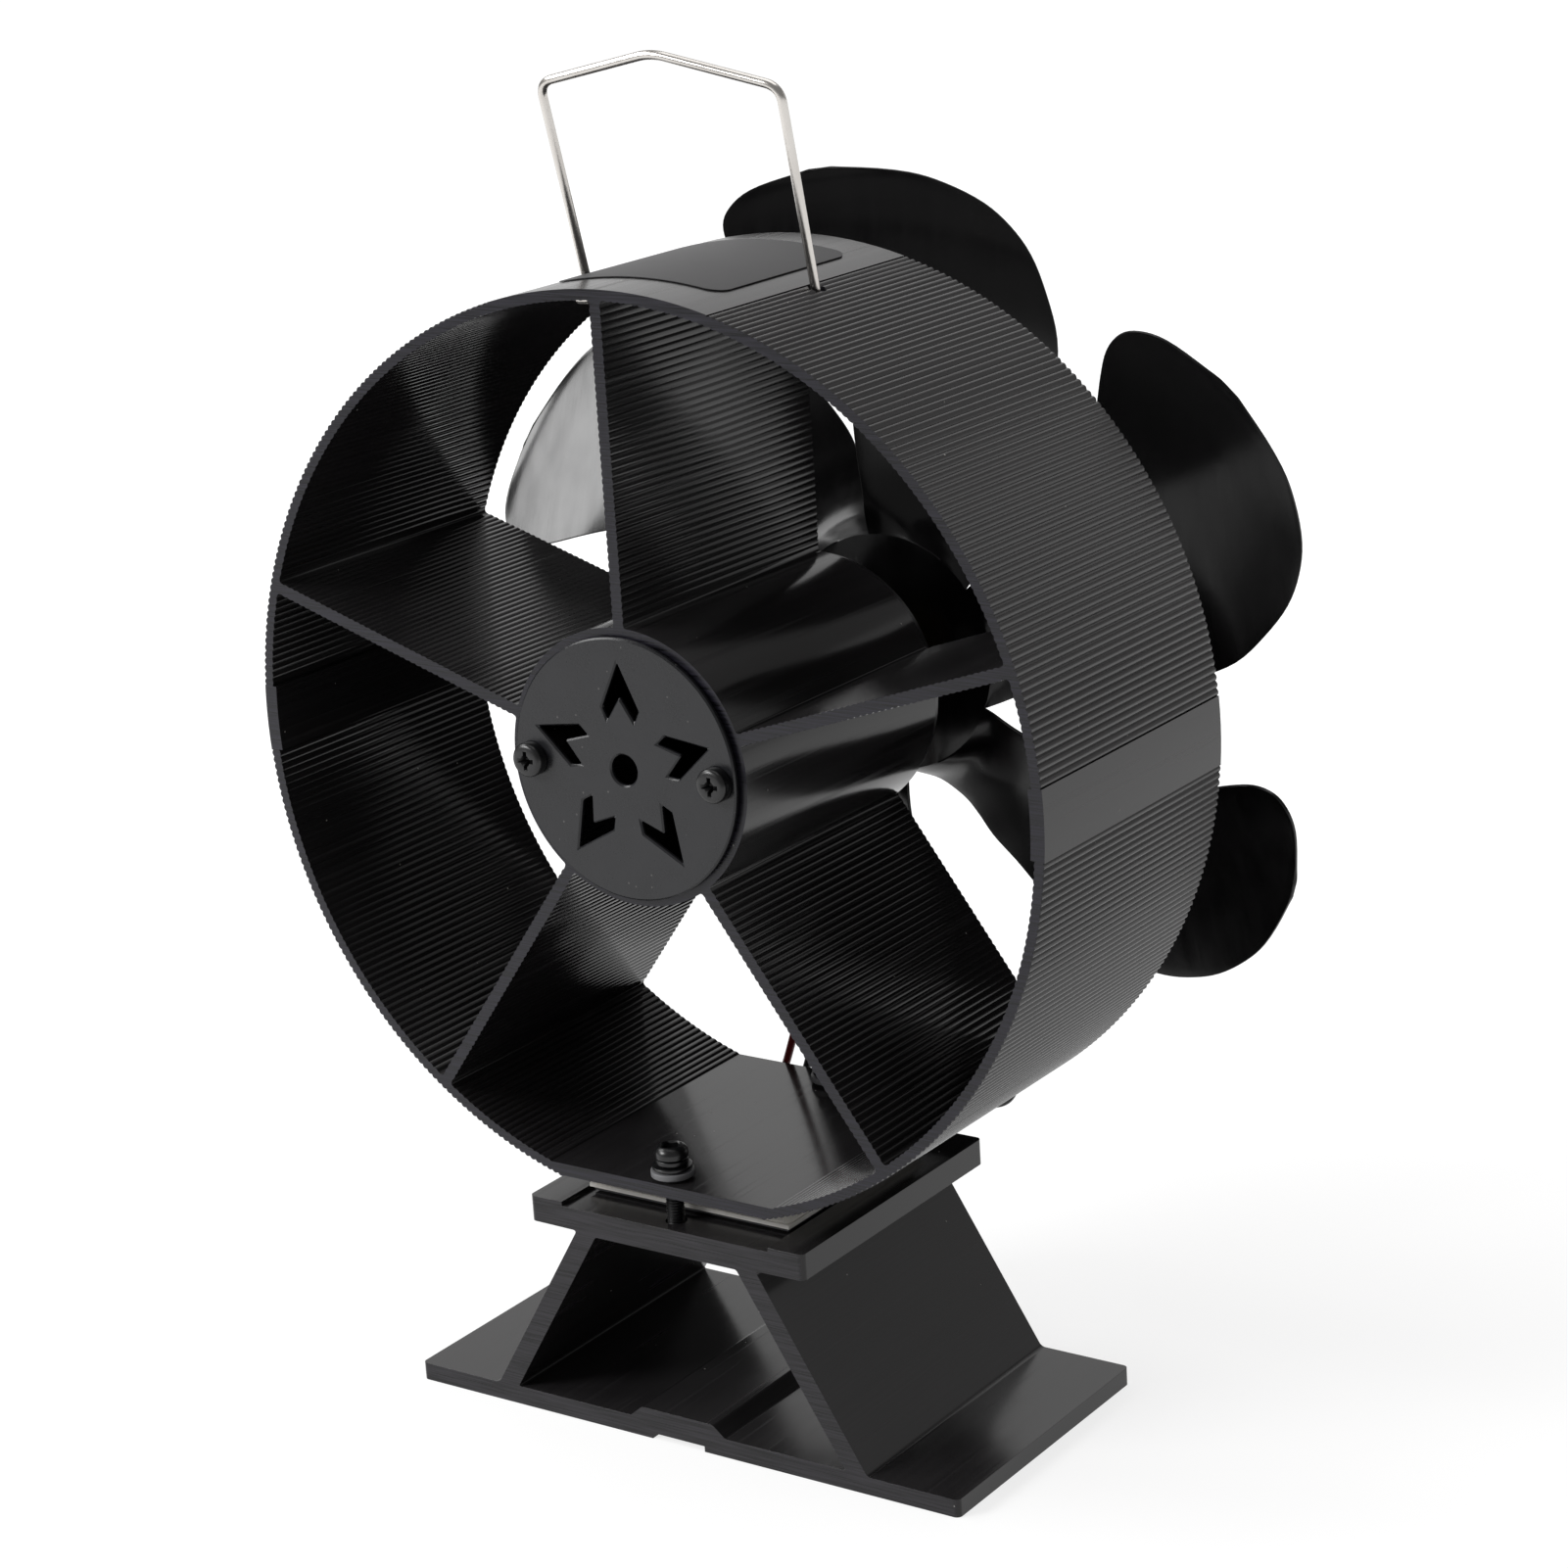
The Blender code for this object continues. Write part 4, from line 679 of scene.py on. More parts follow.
def cut(obj, *tools):
    """The object with the tools' shapes taken out of it."""
    for one in (obj, *tools):
        link(one)
    for tool in tools:
        change = obj.modifiers.new("cut", "BOOLEAN")
        change.operation = "DIFFERENCE"
        change.solver = "EXACT"
        change.object = tool
    made = applied(obj)
    for tool in tools:
        bpy.data.objects.remove(tool, do_unlink=True)
    return made


def whole_flats(obj):
    """The object with each flat side made one face again, as far as its holes allow."""
    limit = math.radians(FLAT_ANGLE)
    return edited(
        obj, lambda bm: bmesh.ops.dissolve_limit(bm, angle_limit=limit, verts=bm.verts, edges=bm.edges)
    )


def without_slivers(obj):
    """The object without the empty faces and edges that a cut or a rounded edge can leave."""
    return edited(obj, lambda bm: bmesh.ops.dissolve_degenerate(bm, dist=SLIVER, edges=bm.edges))


def softened(obj, soft, limited=True):
    """The object with its sharp edges rounded. If limited, close edges get less than the full width."""
    width, steps, angle = soft
    change = obj.modifiers.new("soft", "BEVEL")
    change.width = width
    change.segments = steps
    change.limit_method = "ANGLE"
    change.angle_limit = math.radians(angle)
    change.use_clamp_overlap = limited
    change.loop_slide = limited
    return without_slivers(applied(obj))


def put(piece, body, finish, node):
    """Sets a piece made about the ring's middle into the frame, where it stands for its CAD node."""
    moved(piece, Matrix.Translation((0, MIDDLE_Y, 0)))
    piece.data.materials.clear()
    piece.data.materials.append(finish)
    piece.data.shade_smooth()
    piece.data.set_sharp_from_angle(angle=math.radians(SMOOTH_ANGLE))
    even = piece.modifiers.new("even", "WEIGHTED_NORMAL")
    even.keep_sharp = True
    even.weight = 100
    piece = applied(piece)
    link(piece)
    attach(piece, body)
    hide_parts(node)


def depths(node):
    """Where a CAD node starts and ends along Y, measured from the ring's middle."""
    low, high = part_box(node)
    return low.y - MIDDLE_Y, high.y - MIDDLE_Y


def middle_depth(node):
    low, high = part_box(node)
    return (low.y + high.y) / 2 - MIDDLE_Y


def arc(radius, start, end, step=2.0, centre=(0, 0)):
    """Points on a circle from one angle to another, in degrees, both ends included."""
    count = max(1, math.ceil(abs(end - start) / step - 1e-6))
    angles = [math.radians(start + (end - start) * i / count) for i in range(count + 1)]
    return [(centre[0] + radius * math.cos(a), centre[1] + radius * math.sin(a)) for a in angles]


def circle(radius, sides, centre=(0, 0)):
    return arc(radius, 0, 360, 360 / sides, centre)[:-1]


def on_the_way(start, end, share):
    """The point that lies the given share of the way from start to end."""
    return tuple(s + (e - s) * share for s, e in zip(start, end))


def round_corner(before, corner, after, reach, count=5):
    """Points of a soft corner that starts and ends at the given reach from the corner."""
    start, end = (
        on_the_way(corner, goal, min(reach / math.dist(corner, goal), CORNER_REACH_LIMIT))
        for goal in (before, after)
    )
    made = []
    for i in range(count + 1):
        t = i / count
        weights = ((1 - t) ** 2, 2 * t * (1 - t), t**2)
        made.append(tuple(sum(w * p[k] for w, p in zip(weights, (start, corner, end))) for k in (0, 1)))
    return made


def mirrored(half):
    """A closed outline from its right half, listed from the centre line to the centre line."""
    return half + [(-x, z) for x, z in reversed(half) if x > 0]


def rounded_plate(half_width, half_length, corner, step=10.0):
    made = []
    for quarter, (sx, sy) in enumerate(((1, 1), (-1, 1), (-1, -1), (1, -1))):
        centre = (sx * (half_width - corner), sy * (half_length - corner))
        made += arc(corner, 90 * quarter, 90 * quarter + 90, step, centre)
    return made


def lifted(loops):
    return [[(x, z + HUB_Z) for x, z in loop] for loop in loops]


def smooth_path(points, steps):
    """A Catmull-Rom curve through a route's own points."""
    route = [Vector(point) for point in points]
    ends = [route[0]] + route + [route[-1]]
    made = [route[0]]
    for a, b, c, d in zip(ends, ends[1:], ends[2:], ends[3:]):
        for i in range(1, steps + 1):
            t = i / steps
            bend = (2 * a - 5 * b + 4 * c - d) * t**2 + (3 * b - a - 3 * c + d) * t**3
            made.append(b + (c - a) * t / 2 + bend / 2)
    return made


def wire(name, points, radius, resolution=5):
    """A round wire along a path, with closed ends."""
    curve = bpy.data.curves.new(name, "CURVE")
    curve.dimensions = "3D"
    curve.bevel_depth = radius
    curve.bevel_resolution = resolution
    curve.use_fill_caps = True
    spline = curve.splines.new("POLY")
    spline.points.add(len(points) - 1)
    for point, at in zip(spline.points, points):
        point.co = (*at, 1)
    return welded(applied(bpy.data.objects.new(name, curve)))


# Radiator


def groove(step, depth):
    """How far a point lies below the crests, for steps counted along a row of rounded ribs."""
    return depth * (1 - abs(math.sin(math.pi * step / RIB_STEPS)))


def ribbed_arc(crest, start, end, inward):
    """Ribs along a round wall. Inward is 1 where its grooves are cut toward the centre, else -1."""
    count = round(math.radians(abs(end - start)) * crest / RIB_PITCH) * RIB_STEPS
    made = []
    for i in range(count + 1):
        angle = math.radians(start + (end - start) * i / count)
        radius = crest - groove(i, RIB_DEPTH) if inward > 0 else crest + groove(i, INNER_RIB_DEPTH)
        made.append((radius * math.cos(angle), radius * math.sin(angle)))
    return made


def ribbed_line(start, end, into):
    """Ribs along a straight wall, their grooves cut in the direction into."""
    count = round(math.dist(start, end) / RIB_PITCH) * RIB_STEPS
    made = []
    for i in range(count + 1):
        deep = groove(i, INNER_RIB_DEPTH)
        made.append(tuple(p + n * deep for p, n in zip(on_the_way(start, end, i / count), into)))
    return made


def outer_wall():
    flat_corner = math.degrees(math.acos(RING_FLAT / RING_RADIUS))
    side, top = SIDE_BAND_ANGLE, TOP_BAND_ANGLE
    made = ribbed_arc(RING_RADIUS, flat_corner - 90, -side, 1)
    for band_start, band_end, ribs_end in (
        (-side, side, 90 - top),
        (90 - top, 90 + top, 180 - side),
        (180 - side, 180 + side, 270 - flat_corner),
    ):
        made += arc(RING_RADIUS, band_start, band_end)
        made += ribbed_arc(RING_RADIUS, band_end, ribs_end, 1)
    return made


def inner_wall(start, end):
    """The ribbed inside of the ring, with the thicker smooth bands at the two sides and the floor."""
    if start < 270 < end:
        corner = math.degrees(math.acos((RING_FLAT - FLOOR_THICK) / RING_INNER))
        left = ribbed_arc(RING_INNER, start, 270 - corner, -1)
        return left + ribbed_arc(RING_INNER, 270 + corner, end, -1)
    made = []
    angle = start
    for band in (0.0, 180.0, 360.0):
        low, high = band - SIDE_BAND_ANGLE, band + SIDE_BAND_ANGLE
        if low > start and high < end:
            made += ribbed_arc(RING_INNER, angle, low, -1)
            made += arc(RING_INNER - SIDE_BAND_EXTRA, low, high)
            angle = high
    return made + ribbed_arc(RING_INNER, angle, end, -1)


def polar(radius, angle):
    return (radius * math.cos(math.radians(angle)), radius * math.sin(math.radians(angle)))


def spoke_side(start, end, angle, side):
    """One ribbed face of the spoke at the given angle, from start to end, clear of both fillets."""
    margin = SPOKE_FILLET / math.dist(start, end)
    first, last = on_the_way(start, end, margin), on_the_way(end, start, margin)
    return ribbed_line(first, last, polar(side, angle + 90))


def sector(start):
    """The opening between one spoke and the next."""
    end = start + 360 / SPOKE_COUNT
    half = SPOKE_THICK / 2
    at_ring = math.degrees(math.asin(half / RING_INNER))
    at_hub = math.degrees(math.asin(half / HUB_RADIUS))
    margin = math.degrees(SPOKE_FILLET / RING_INNER)
    ring_start, ring_end = polar(RING_INNER, start + at_ring), polar(RING_INNER, end - at_ring)
    hub_start, hub_end = polar(HUB_RADIUS, start + at_hub), polar(HUB_RADIUS, end - at_hub)
    wall = inner_wall(start + at_ring + margin, end - at_ring - margin)
    hub_margin = math.degrees(SPOKE_FILLET / HUB_RADIUS)
    hub = arc(HUB_RADIUS, end - at_hub - hub_margin, start + at_hub + hub_margin)
    down = spoke_side(ring_end, hub_end, end, 1)
    up = spoke_side(hub_start, ring_start, start, -1)
    made = []
    for path, corner, following in (
        (wall, ring_end, down), (down, hub_end, hub), (hub, hub_start, up), (up, ring_start, wall),
    ):
        made += path
        made += round_corner(path[-1], corner, following[0], SPOKE_FILLET)
    return made


def hub_bore():
    """The hub's bore, with the two screw ports standing in from its sides."""
    meet_x = (SCREW_PORT_SPREAD**2 + HUB_BORE**2 - SCREW_PORT_RADIUS**2) / (2 * SCREW_PORT_SPREAD)
    on_bore = math.degrees(math.acos(meet_x / HUB_BORE))
    on_port = math.degrees(math.acos((meet_x - SCREW_PORT_SPREAD) / SCREW_PORT_RADIUS))
    made = []
    for turn, side in ((0, 1), (180, -1)):
        centre = (side * SCREW_PORT_SPREAD, 0)
        made += arc(SCREW_PORT_RADIUS, turn + 360 - on_port, turn + on_port, step=8.0, centre=centre)
        made += arc(HUB_BORE, turn + on_bore, turn + 180 - on_bore, step=3.0)[1:-1]
    return made


def screw_holes():
    """The two holes in the hub's screw ports, or over them."""
    return [circle(SCREW_HOLE, SMALL_HOLE_SIDES, (side * SCREW_PORT_SPREAD, 0)) for side in (-1, 1)]


def make_radiator():
    loops = [outer_wall(), hub_bore()]
    loops += [sector(90 + 360 / SPOKE_COUNT * (i - 1)) for i in range(SPOKE_COUNT)]
    loops += screw_holes()
    radiator = extruded("ribbed_radiator", lifted(loops), -RING_BACK, RING_BACK)
    tools = []
    for end in ("front", "rear"):
        depth = middle_depth(f"clamp_screw_{end}")
        low, high = RING_UNDERSIDE - OVERRUN, FLOOR_TOP + OVERRUN
        tools.append(rod(f"hole_{end}", BUSH_HOLE, low, high, 0, depth))
    for side in (-1, 1):
        hole = rod(f"handle_hole_{side}", HANDLE_HOLE, WALL_MIDDLE - OVERRUN, WALL_MIDDLE + OVERRUN)
        lean = Matrix.Rotation(side * math.asin(HANDLE_HALF / WALL_MIDDLE), 4, "Y")
        tools.append(moved(hole, Matrix.Translation((0, 0, HUB_Z)) @ lean))
    put(cut(radiator, *tools), "stand", RADIATOR_BLACK, "radiator")


# Base


def round_plate_corners(obj, half_width):
    """Rounds the upright corner edges of a plate that ends at the given half width."""
    near = BASE_EDGE_ROUND / 2

    def is_corner(edge):
        a, b = (v.co for v in edge.verts)
        upright = abs(a.z - b.z) > BASE_EDGE_ROUND and abs(a.y - b.y) < near
        return upright and all(abs(abs(v.co.x) - half_width) < near for v in edge.verts)

    def rounded(bm):
        corners = [edge for edge in bm.edges if is_corner(edge)]
        bmesh.ops.bevel(
            bm, geom=corners, offset=BASE_CORNER_ROUND, segments=5, profile=0.5, affect="EDGES"
        )

    edited(obj, rounded)


def make_base():
    under_top = BASE_HEIGHT - TOP_PLATE
    top_half, recess_half = TOP_WIDTH / 2, RECESS_WIDTH / 2
    soft = BASE_EDGE_ROUND
    leg = ((LEG_FOOT, BASE_PLATE), (LEG_HEAD, under_top))
    outer = [(GROOVE_HALF, GROOVE_DEPTH), (GROOVE_HALF, 0), (BASE_HALF, 0), (BASE_HALF, BASE_PLATE)]
    outer += round_corner((BASE_HALF, BASE_PLATE), *leg, 2 * soft)
    outer += round_corner(*leg, (top_half, under_top), 2 * soft)
    outer += [(top_half, BASE_HEIGHT - TOP_PLATE_EDGE), (top_half, BASE_HEIGHT)]
    outer += [(recess_half, BASE_HEIGHT), (recess_half, RECESS_FLOOR)]
    tunnel = mirrored([
        (RIDGE_CROWN, TUNNEL_FLOOR + RIDGE_RISE), (RIDGE_FOOT, TUNNEL_FLOOR),
        (LEG_FOOT - LEG_WALL_FOOT, TUNNEL_FLOOR), (LEG_HEAD - LEG_WALL_HEAD, TUNNEL_CEILING),
    ])
    inside = []
    for i, corner in enumerate(tunnel):
        inside += round_corner(tunnel[i - 1], corner, tunnel[(i + 1) % len(tunnel)], soft)
    base = whole_flats(extruded("base_extrusion", [mirrored(outer), inside], -BASE_BACK, BASE_BACK))
    round_plate_corners(base, BASE_HALF)
    round_plate_corners(base, top_half)
    holes = {
        "clamp_screw_front": (under_top, BASE_HEIGHT),
        "clamp_screw_rear": (under_top, BASE_HEIGHT),
        "bimetal_rivet": (0, TUNNEL_FLOOR + RIDGE_RISE),
    }
    tools = [
        rod(f"{node}_hole", BASE_HOLE, low - OVERRUN, high + OVERRUN, 0, middle_depth(node))
        for node, (low, high) in holes.items()
    ]
    base = softened(whole_flats(cut(base, *tools)), BASE_SOFT)
    put(base, "stand", BASE_BLACK, "base")


def make_module_seal():
    """The pale bead between the two ceramics, all round the module's edge."""
    low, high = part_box("module_core")
    half = MODULE_HIGH.x - SEAL_INSET
    outer = rounded_plate(half, half, SEAL_WIDTH)
    inner = rounded_plate(half - SEAL_WIDTH, half - SEAL_WIDTH, SEAL_WIDTH / 2)
    seal = extruded("module_seal", [outer, inner], low.z - GAP, high.z + GAP, "Z")
    put(softened(seal, SEAL_SOFT), "stand", SEALANT, "module_core")


# Clamp screws with their washers and bushes


def make_spring_washer(end, here):
    """A split ring of square wire whose ends stand a little apart."""
    low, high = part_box(f"spring_washer_{end}")
    outer, inner, thick = (high.x - low.x) / 2, CLAMP_SHANK + GAP, high.z - low.z

    def build(bm):
        previous = None
        for i in range(SPRING_STEPS + 1):
            t = i / SPRING_STEPS
            angle = math.radians(SPRING_SPLIT / 2 + (360 - SPRING_SPLIT) * t)
            lift = low.z + GAP * (t - 0.5)
            section = [(outer, lift), (outer, lift + thick), (inner, lift + thick), (inner, lift)]
            ring = [bm.verts.new((r * math.sin(angle), r * math.cos(angle), z)) for r, z in section]
            if previous is None:
                bm.faces.new(ring)
            else:
                for k in range(4):
                    bm.faces.new((previous[k], previous[k - 1], ring[k - 1], ring[k]))
            previous = ring
        bm.faces.new(reversed(previous))

    washer = softened(mesh_object(f"split_washer_{end}", build), SPLIT_WASHER_SOFT)
    put(moved(washer, here), "stand", BLACK_OXIDE, f"spring_washer_{end}")


def thread(shank, top, bottom):
    """The outline of a screw thread from top to bottom, with a plain end."""
    pitch, root = shank * THREAD_PITCH_SHARE, shank * THREAD_ROOT_SHARE
    crest_end, root_start, root_end = (pitch * share for share in THREAD_FLATS)
    made = [(shank, top)]
    for i in range(int((top - bottom) / pitch)):
        crest = top - pitch * i
        made += [(shank, crest - crest_end), (root, crest - root_start), (root, crest - root_end)]
    return made + [(root, bottom), (0, bottom)]


def make_socket_screw(end, here):
    low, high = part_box(f"clamp_screw_{end}")
    under_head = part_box(f"spring_washer_{end}")[1].z + GAP
    radius = (high.x - low.x) / 2
    rise = high.z - under_head
    profile = [(0, high.z)]
    profile += [(radius - rise * (1 - x), high.z - rise * (1 - z)) for x, z in HEAD_ROUND]
    profile += [(radius, under_head), (CLAMP_SHANK, under_head)]
    profile += thread(CLAMP_SHANK, under_head - rise, low.z)
    socket = rod("socket", SOCKET_RADIUS, high.z - SOCKET_DEPTH, high.z + OVERRUN, sides=6)
    rim, fall = SOCKET_RADIUS + SOCKET_MOUTH, 2 * SOCKET_MOUTH
    mouth = [(0, high.z + OVERRUN), (rim + OVERRUN, high.z + OVERRUN)]
    mouth += [(rim - fall, high.z - fall), (0, high.z - fall)]
    screw = cut(turned(f"socket_screw_{end}", profile), socket, turned("socket_mouth", mouth))
    put(moved(screw, here), "stand", BLACK_OXIDE, f"clamp_screw_{end}")


def make_clamp(end):
    """A socket screw with its flat washer, insulating bush and spring washer."""
    here = Matrix.Translation((0, middle_depth(f"clamp_screw_{end}"), 0))
    make_socket_screw(end, here)
    bore = CLAMP_SHANK + GAP
    low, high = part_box(f"clamp_washer_{end}")
    profile = tube_profile((high.x - low.x) / 2, bore, low.z, high.z)
    washer = softened(turned(f"flat_washer_{end}", profile), WASHER_SOFT)
    put(moved(washer, here), "stand", BLACK_OXIDE, f"clamp_washer_{end}")
    low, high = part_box(f"insulating_bush_{end}")
    flange = (high.x - low.x) / 2
    under_flange = high.z - FLANGE_THICK
    profile = [
        (flange, high.z), (flange, under_flange), (SLEEVE_RADIUS, under_flange),
        (SLEEVE_RADIUS, low.z), (bore, low.z), (bore, high.z),
    ]
    bush = softened(turned(f"grey_bush_{end}", profile), BUSH_SOFT)
    put(moved(bush, here), "stand", GREY_BUSH, f"insulating_bush_{end}")
    make_spring_washer(end, here)


# Cover, motor plate and their screws


def chevron(angle):
    """One chevron slot of the star, pointing out at the given angle."""
    shape = [(CHEVRON_APEX, 0), CHEVRON_OUTER_END, CHEVRON_INNER_END, (CHEVRON_INNER_APEX, 0)]
    shape += [(along, -across) for along, across in (CHEVRON_INNER_END, CHEVRON_OUTER_END)]
    c, s = math.cos(math.radians(angle)), math.sin(math.radians(angle))
    return [(along * c - across * s, along * s + across * c) for along, across in shape]


def make_cover():
    loops = [circle(COVER_HIGH.x, COVER_SIDES), circle(COVER_HOLE, HOLE_SIDES)] + screw_holes()
    loops += [chevron(90 + 360 / SPOKE_COUNT * i) for i in range(SPOKE_COUNT)]
    cover = extruded("cover_disc", lifted(loops), *depths("star_cover"))
    cover = softened(whole_flats(cover), COVER_CHAMFER, limited=False)
    put(cover, "stand", COVER_COAT, "star_cover")


def make_motor_plate():
    loops = [circle(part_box("motor_plate")[1].x, PLATE_SIDES), circle(NOSE_HOLE, HOLE_SIDES)]
    for side, screw_hole in zip((-1, 1), screw_holes()):
        motor_hole = circle(MOTOR_SCREW_HOLE, LEAST_HOLE_SIDES, (side * MOTOR_SCREW_SPREAD, 0))
        loops += [screw_hole, motor_hole]
    half, low, high = LEAD_SLOT_HALF, -LEAD_SLOT_BOTTOM, -LEAD_SLOT_TOP
    loops.append([(-half, low), (half, low), (half, high), (-half, high)])
    plate = extruded("hub_plate", lifted(loops), *depths("motor_plate"))
    plate = softened(whole_flats(plate), PLATE_SOFT)
    put(plate, "stand", BLACK_OXIDE, "motor_plate")


def cross_arm(name, half_x, half_y, low, high):
    """One arm of a cross recess, narrower at its bottom."""

    def build(bm):
        size = Matrix.Diagonal((2 * half_x, 2 * half_y, high - low, 1))
        bmesh.ops.create_cube(bm, size=1, matrix=Matrix.Translation((0, 0, (low + high) / 2)) @ size)
        for vertex in bm.verts:
            if vertex.co.z < (low + high) / 2:
                vertex.co.x *= CROSS_TAPER
                vertex.co.y *= CROSS_TAPER

    return mesh_object(name, build)


def pan_screw(node, size, lay, finish):
    """A domed cross-head screw in the place of its CAD node, its head's underside at the node's seat."""
    shank, rise, scale = size
    low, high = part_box(node)
    radius = (high.x - low.x) / 2
    length = (high.y - low.y) - rise
    profile = [(0, rise)] + [(radius * x, rise * z) for x, z in PAN_ROUND]
    profile += [(radius, 0), (shank, 0)] + thread(shank, -shank * THREAD_PITCH_SHARE, -length)
    screw = turned(node + "_pan", profile)
    arm, width = CROSS_ARM * scale / 2, CROSS_WIDTH * scale / 2
    top, bottom = rise + width, rise - CROSS_DEPTH * scale
    arms = [cross_arm("cross_a", arm, width, bottom, top), cross_arm("cross_b", width, arm, bottom, top)]
    well = CROSS_WELL * scale
    outline = [(0, top), (well, top), (well * WELL_TAPER, bottom), (0, bottom)]
    centre = turned("cross_well", outline, steps=24)
    screw = softened(cut(screw, *arms, centre), PAN_SOFT)
    seat = low.y + rise if lay is facing_front else high.y - rise
    screw = lay(screw, seat - MIDDLE_Y, (low.x + high.x) / 2, (low.z + high.z) / 2)
    put(screw, "stand", finish, node)


def make_screws():
    for end in ("left", "right"):
        pan_screw(f"cover_screw_{end}", LARGE_PAN, facing_front, BLACK_OXIDE)
        pan_screw(f"plate_screw_{end}", LARGE_PAN, along_y, BLACK_OXIDE)
        pan_screw(f"motor_screw_{end}", SMALL_PAN, along_y, PLATED_STEEL)


# Fan


def edge_point(along, out, back):
    """An edge point as (angle in degrees, radius, distance behind the sheet's flat middle)."""
    angle = math.degrees(math.atan2(along, out))
    return Vector((angle, FAN_RADIUS * math.hypot(along, out), FAN_RADIUS * back))


def blade_rows():
    """Rows of one sixth of the sheet from its bore to the tip, each as its two end points."""
    lead = SLOT_END_LEAD_ANGLE
    trail = lead - 360 / BLADE_COUNT
    inner = [FAN_BORE + (FAN_FLAT_RADIUS - FAN_BORE) * i / FAN_FLAT_ROWS for i in range(FAN_FLAT_ROWS)]
    rows = [(Vector((lead, radius, 0)), Vector((trail, radius, 0))) for radius in inner]
    back = FAN_RADIUS * SLOT_END_BACK_SHARE
    both = []
    for angle, edge in ((lead, LEADING_EDGE_SHARES), (trail, TRAILING_EDGE_SHARES)):
        flat = Vector((angle, FAN_FLAT_RADIUS, 0))
        slot_end = Vector((angle, FAN_PLATE_RADIUS, back))
        joined = [flat.lerp(slot_end, i / BLADE_STEPS) for i in range(BLADE_STEPS)]
        free = smooth_path([slot_end] + [edge_point(*point) for point in edge], BLADE_STEPS)
        both.append(joined + free)
    return rows + list(zip(*both))


def make_fan():
    plane = depths("fan_clamp_ring")[0] - GAP - FAN_SHEET / 2
    rows = blade_rows()
    first_free = len(rows) - BLADE_STEPS * len(LEADING_EDGE_SHARES)

    def camber(index, lead, trail):
        """How far the middle of a row stands back, growing from nothing at the blade's root."""
        swell = min(max((index - first_free) / (BLADE_SWELL_POINTS * BLADE_STEPS), 0), 1)
        chord = abs(lead.x - trail.x) / 360 * math.tau * (lead.y + trail.y) / 2
        return BLADE_CAMBER_SHARE * chord * swell

    def point(blade, angle, radius, back):
        turn = math.radians(BLADE_PHASE + blade * 360 / BLADE_COUNT + angle)
        return (radius * math.cos(turn), plane + back, HUB_Z + radius * math.sin(turn))

    def build(bm):
        for blade in range(BLADE_COUNT):
            grid = []
            for index, (lead, trail) in enumerate(rows):
                bulge = camber(index, lead, trail)
                row = []
                for i in range(BLADE_COLUMNS + 1):
                    t = i / BLADE_COLUMNS
                    angle, radius, back = lead.lerp(trail, t)
                    row.append(bm.verts.new(point(blade, angle, radius, back + bulge * 4 * t * (1 - t))))
                grid.append(row)
            for near, far in zip(grid, grid[1:]):
                for i in range(BLADE_COLUMNS):
                    bm.faces.new((near[i], near[i + 1], far[i + 1], far[i]))
        bmesh.ops.remove_doubles(bm, verts=bm.verts, dist=WELD)

    fan = mesh_object("blade_sheet", build)
    thick = fan.modifiers.new("sheet", "SOLIDIFY")
    thick.thickness = FAN_SHEET
    thick.offset = 0
    fan = softened(applied(fan), BLADE_SOFT, limited=False)
    put(fan, "rotor", BLADE_PAINT, "fan_blades")
    make_fan_hub(plane)


def make_fan_hub(plane):
    """The brass boss on the shaft, and the ring that clamps the sheet to it."""
    front, spigot_back = depths("fan_boss")
    flange_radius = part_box("fan_boss")[1].x
    flange_back = plane - FAN_SHEET / 2 - GAP
    flange_front = flange_back - BOSS_FLANGE
    profile = [
        (BOSS_SPIGOT_RADIUS, spigot_back), (BOSS_SPIGOT_RADIUS, flange_back),
        (flange_radius, flange_back), (flange_radius, flange_front),
        (BOSS_RADIUS, flange_front), (BOSS_RADIUS, front),
        (SHAFT_HOLE, front), (SHAFT_HOLE, spigot_back),
    ]
    boss = along_y(turned("brass_boss", profile), 0, 0, HUB_Z)
    hole = rod("grub_hole", GRUB_HOLE, 0, BOSS_RADIUS + OVERRUN, 0, (front + flange_front) / 2)
    hole = moved(hole, Matrix.Translation((0, 0, HUB_Z)))
    put(softened(cut(boss, hole), BOSS_SOFT), "rotor", BRASS, "fan_boss")
    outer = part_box("fan_clamp_ring")[1].x
    profile = tube_profile(outer, BOSS_SPIGOT_RADIUS + GAP, *depths("fan_clamp_ring"))
    ring = softened(along_y(turned("clamp_ring", profile), 0, 0, HUB_Z), CLAMP_RING_SOFT)
    put(ring, "rotor", PLATED_STEEL, "fan_clamp_ring")


# Handle, label plate and leads


def make_handle():
    half, tail = HANDLE_HALF, HANDLE_HALF + HANDLE_TAIL
    corners = [
        (-tail, -HANDLE_TAIL_DROP), (-half, -HANDLE_TAIL_DROP), (-HANDLE_CORNER_HALF, HANDLE_CORNER),
        (0, HANDLE_PEAK), (HANDLE_CORNER_HALF, HANDLE_CORNER), (half, -HANDLE_TAIL_DROP),
        (tail, -HANDLE_TAIL_DROP),
    ]
    path = [corners[0]]
    for before, corner, after in zip(corners, corners[1:], corners[2:]):
        path += round_corner(before, corner, after, HANDLE_BEND, HANDLE_BEND_STEPS)
    path.append(corners[-1])
    handle = wire("bent_handle", [(x, 0, z) for x, z in path], WIRE_RADIUS, resolution=7)
    lean = Matrix.Rotation(math.radians(HANDLE_LEAN), 4, "X")
    handle = moved(handle, Matrix.Translation((0, 0, HANDLE_AXIS_Z)) @ lean)
    put(handle, "handle", DRAWN_WIRE, "carry_handle")


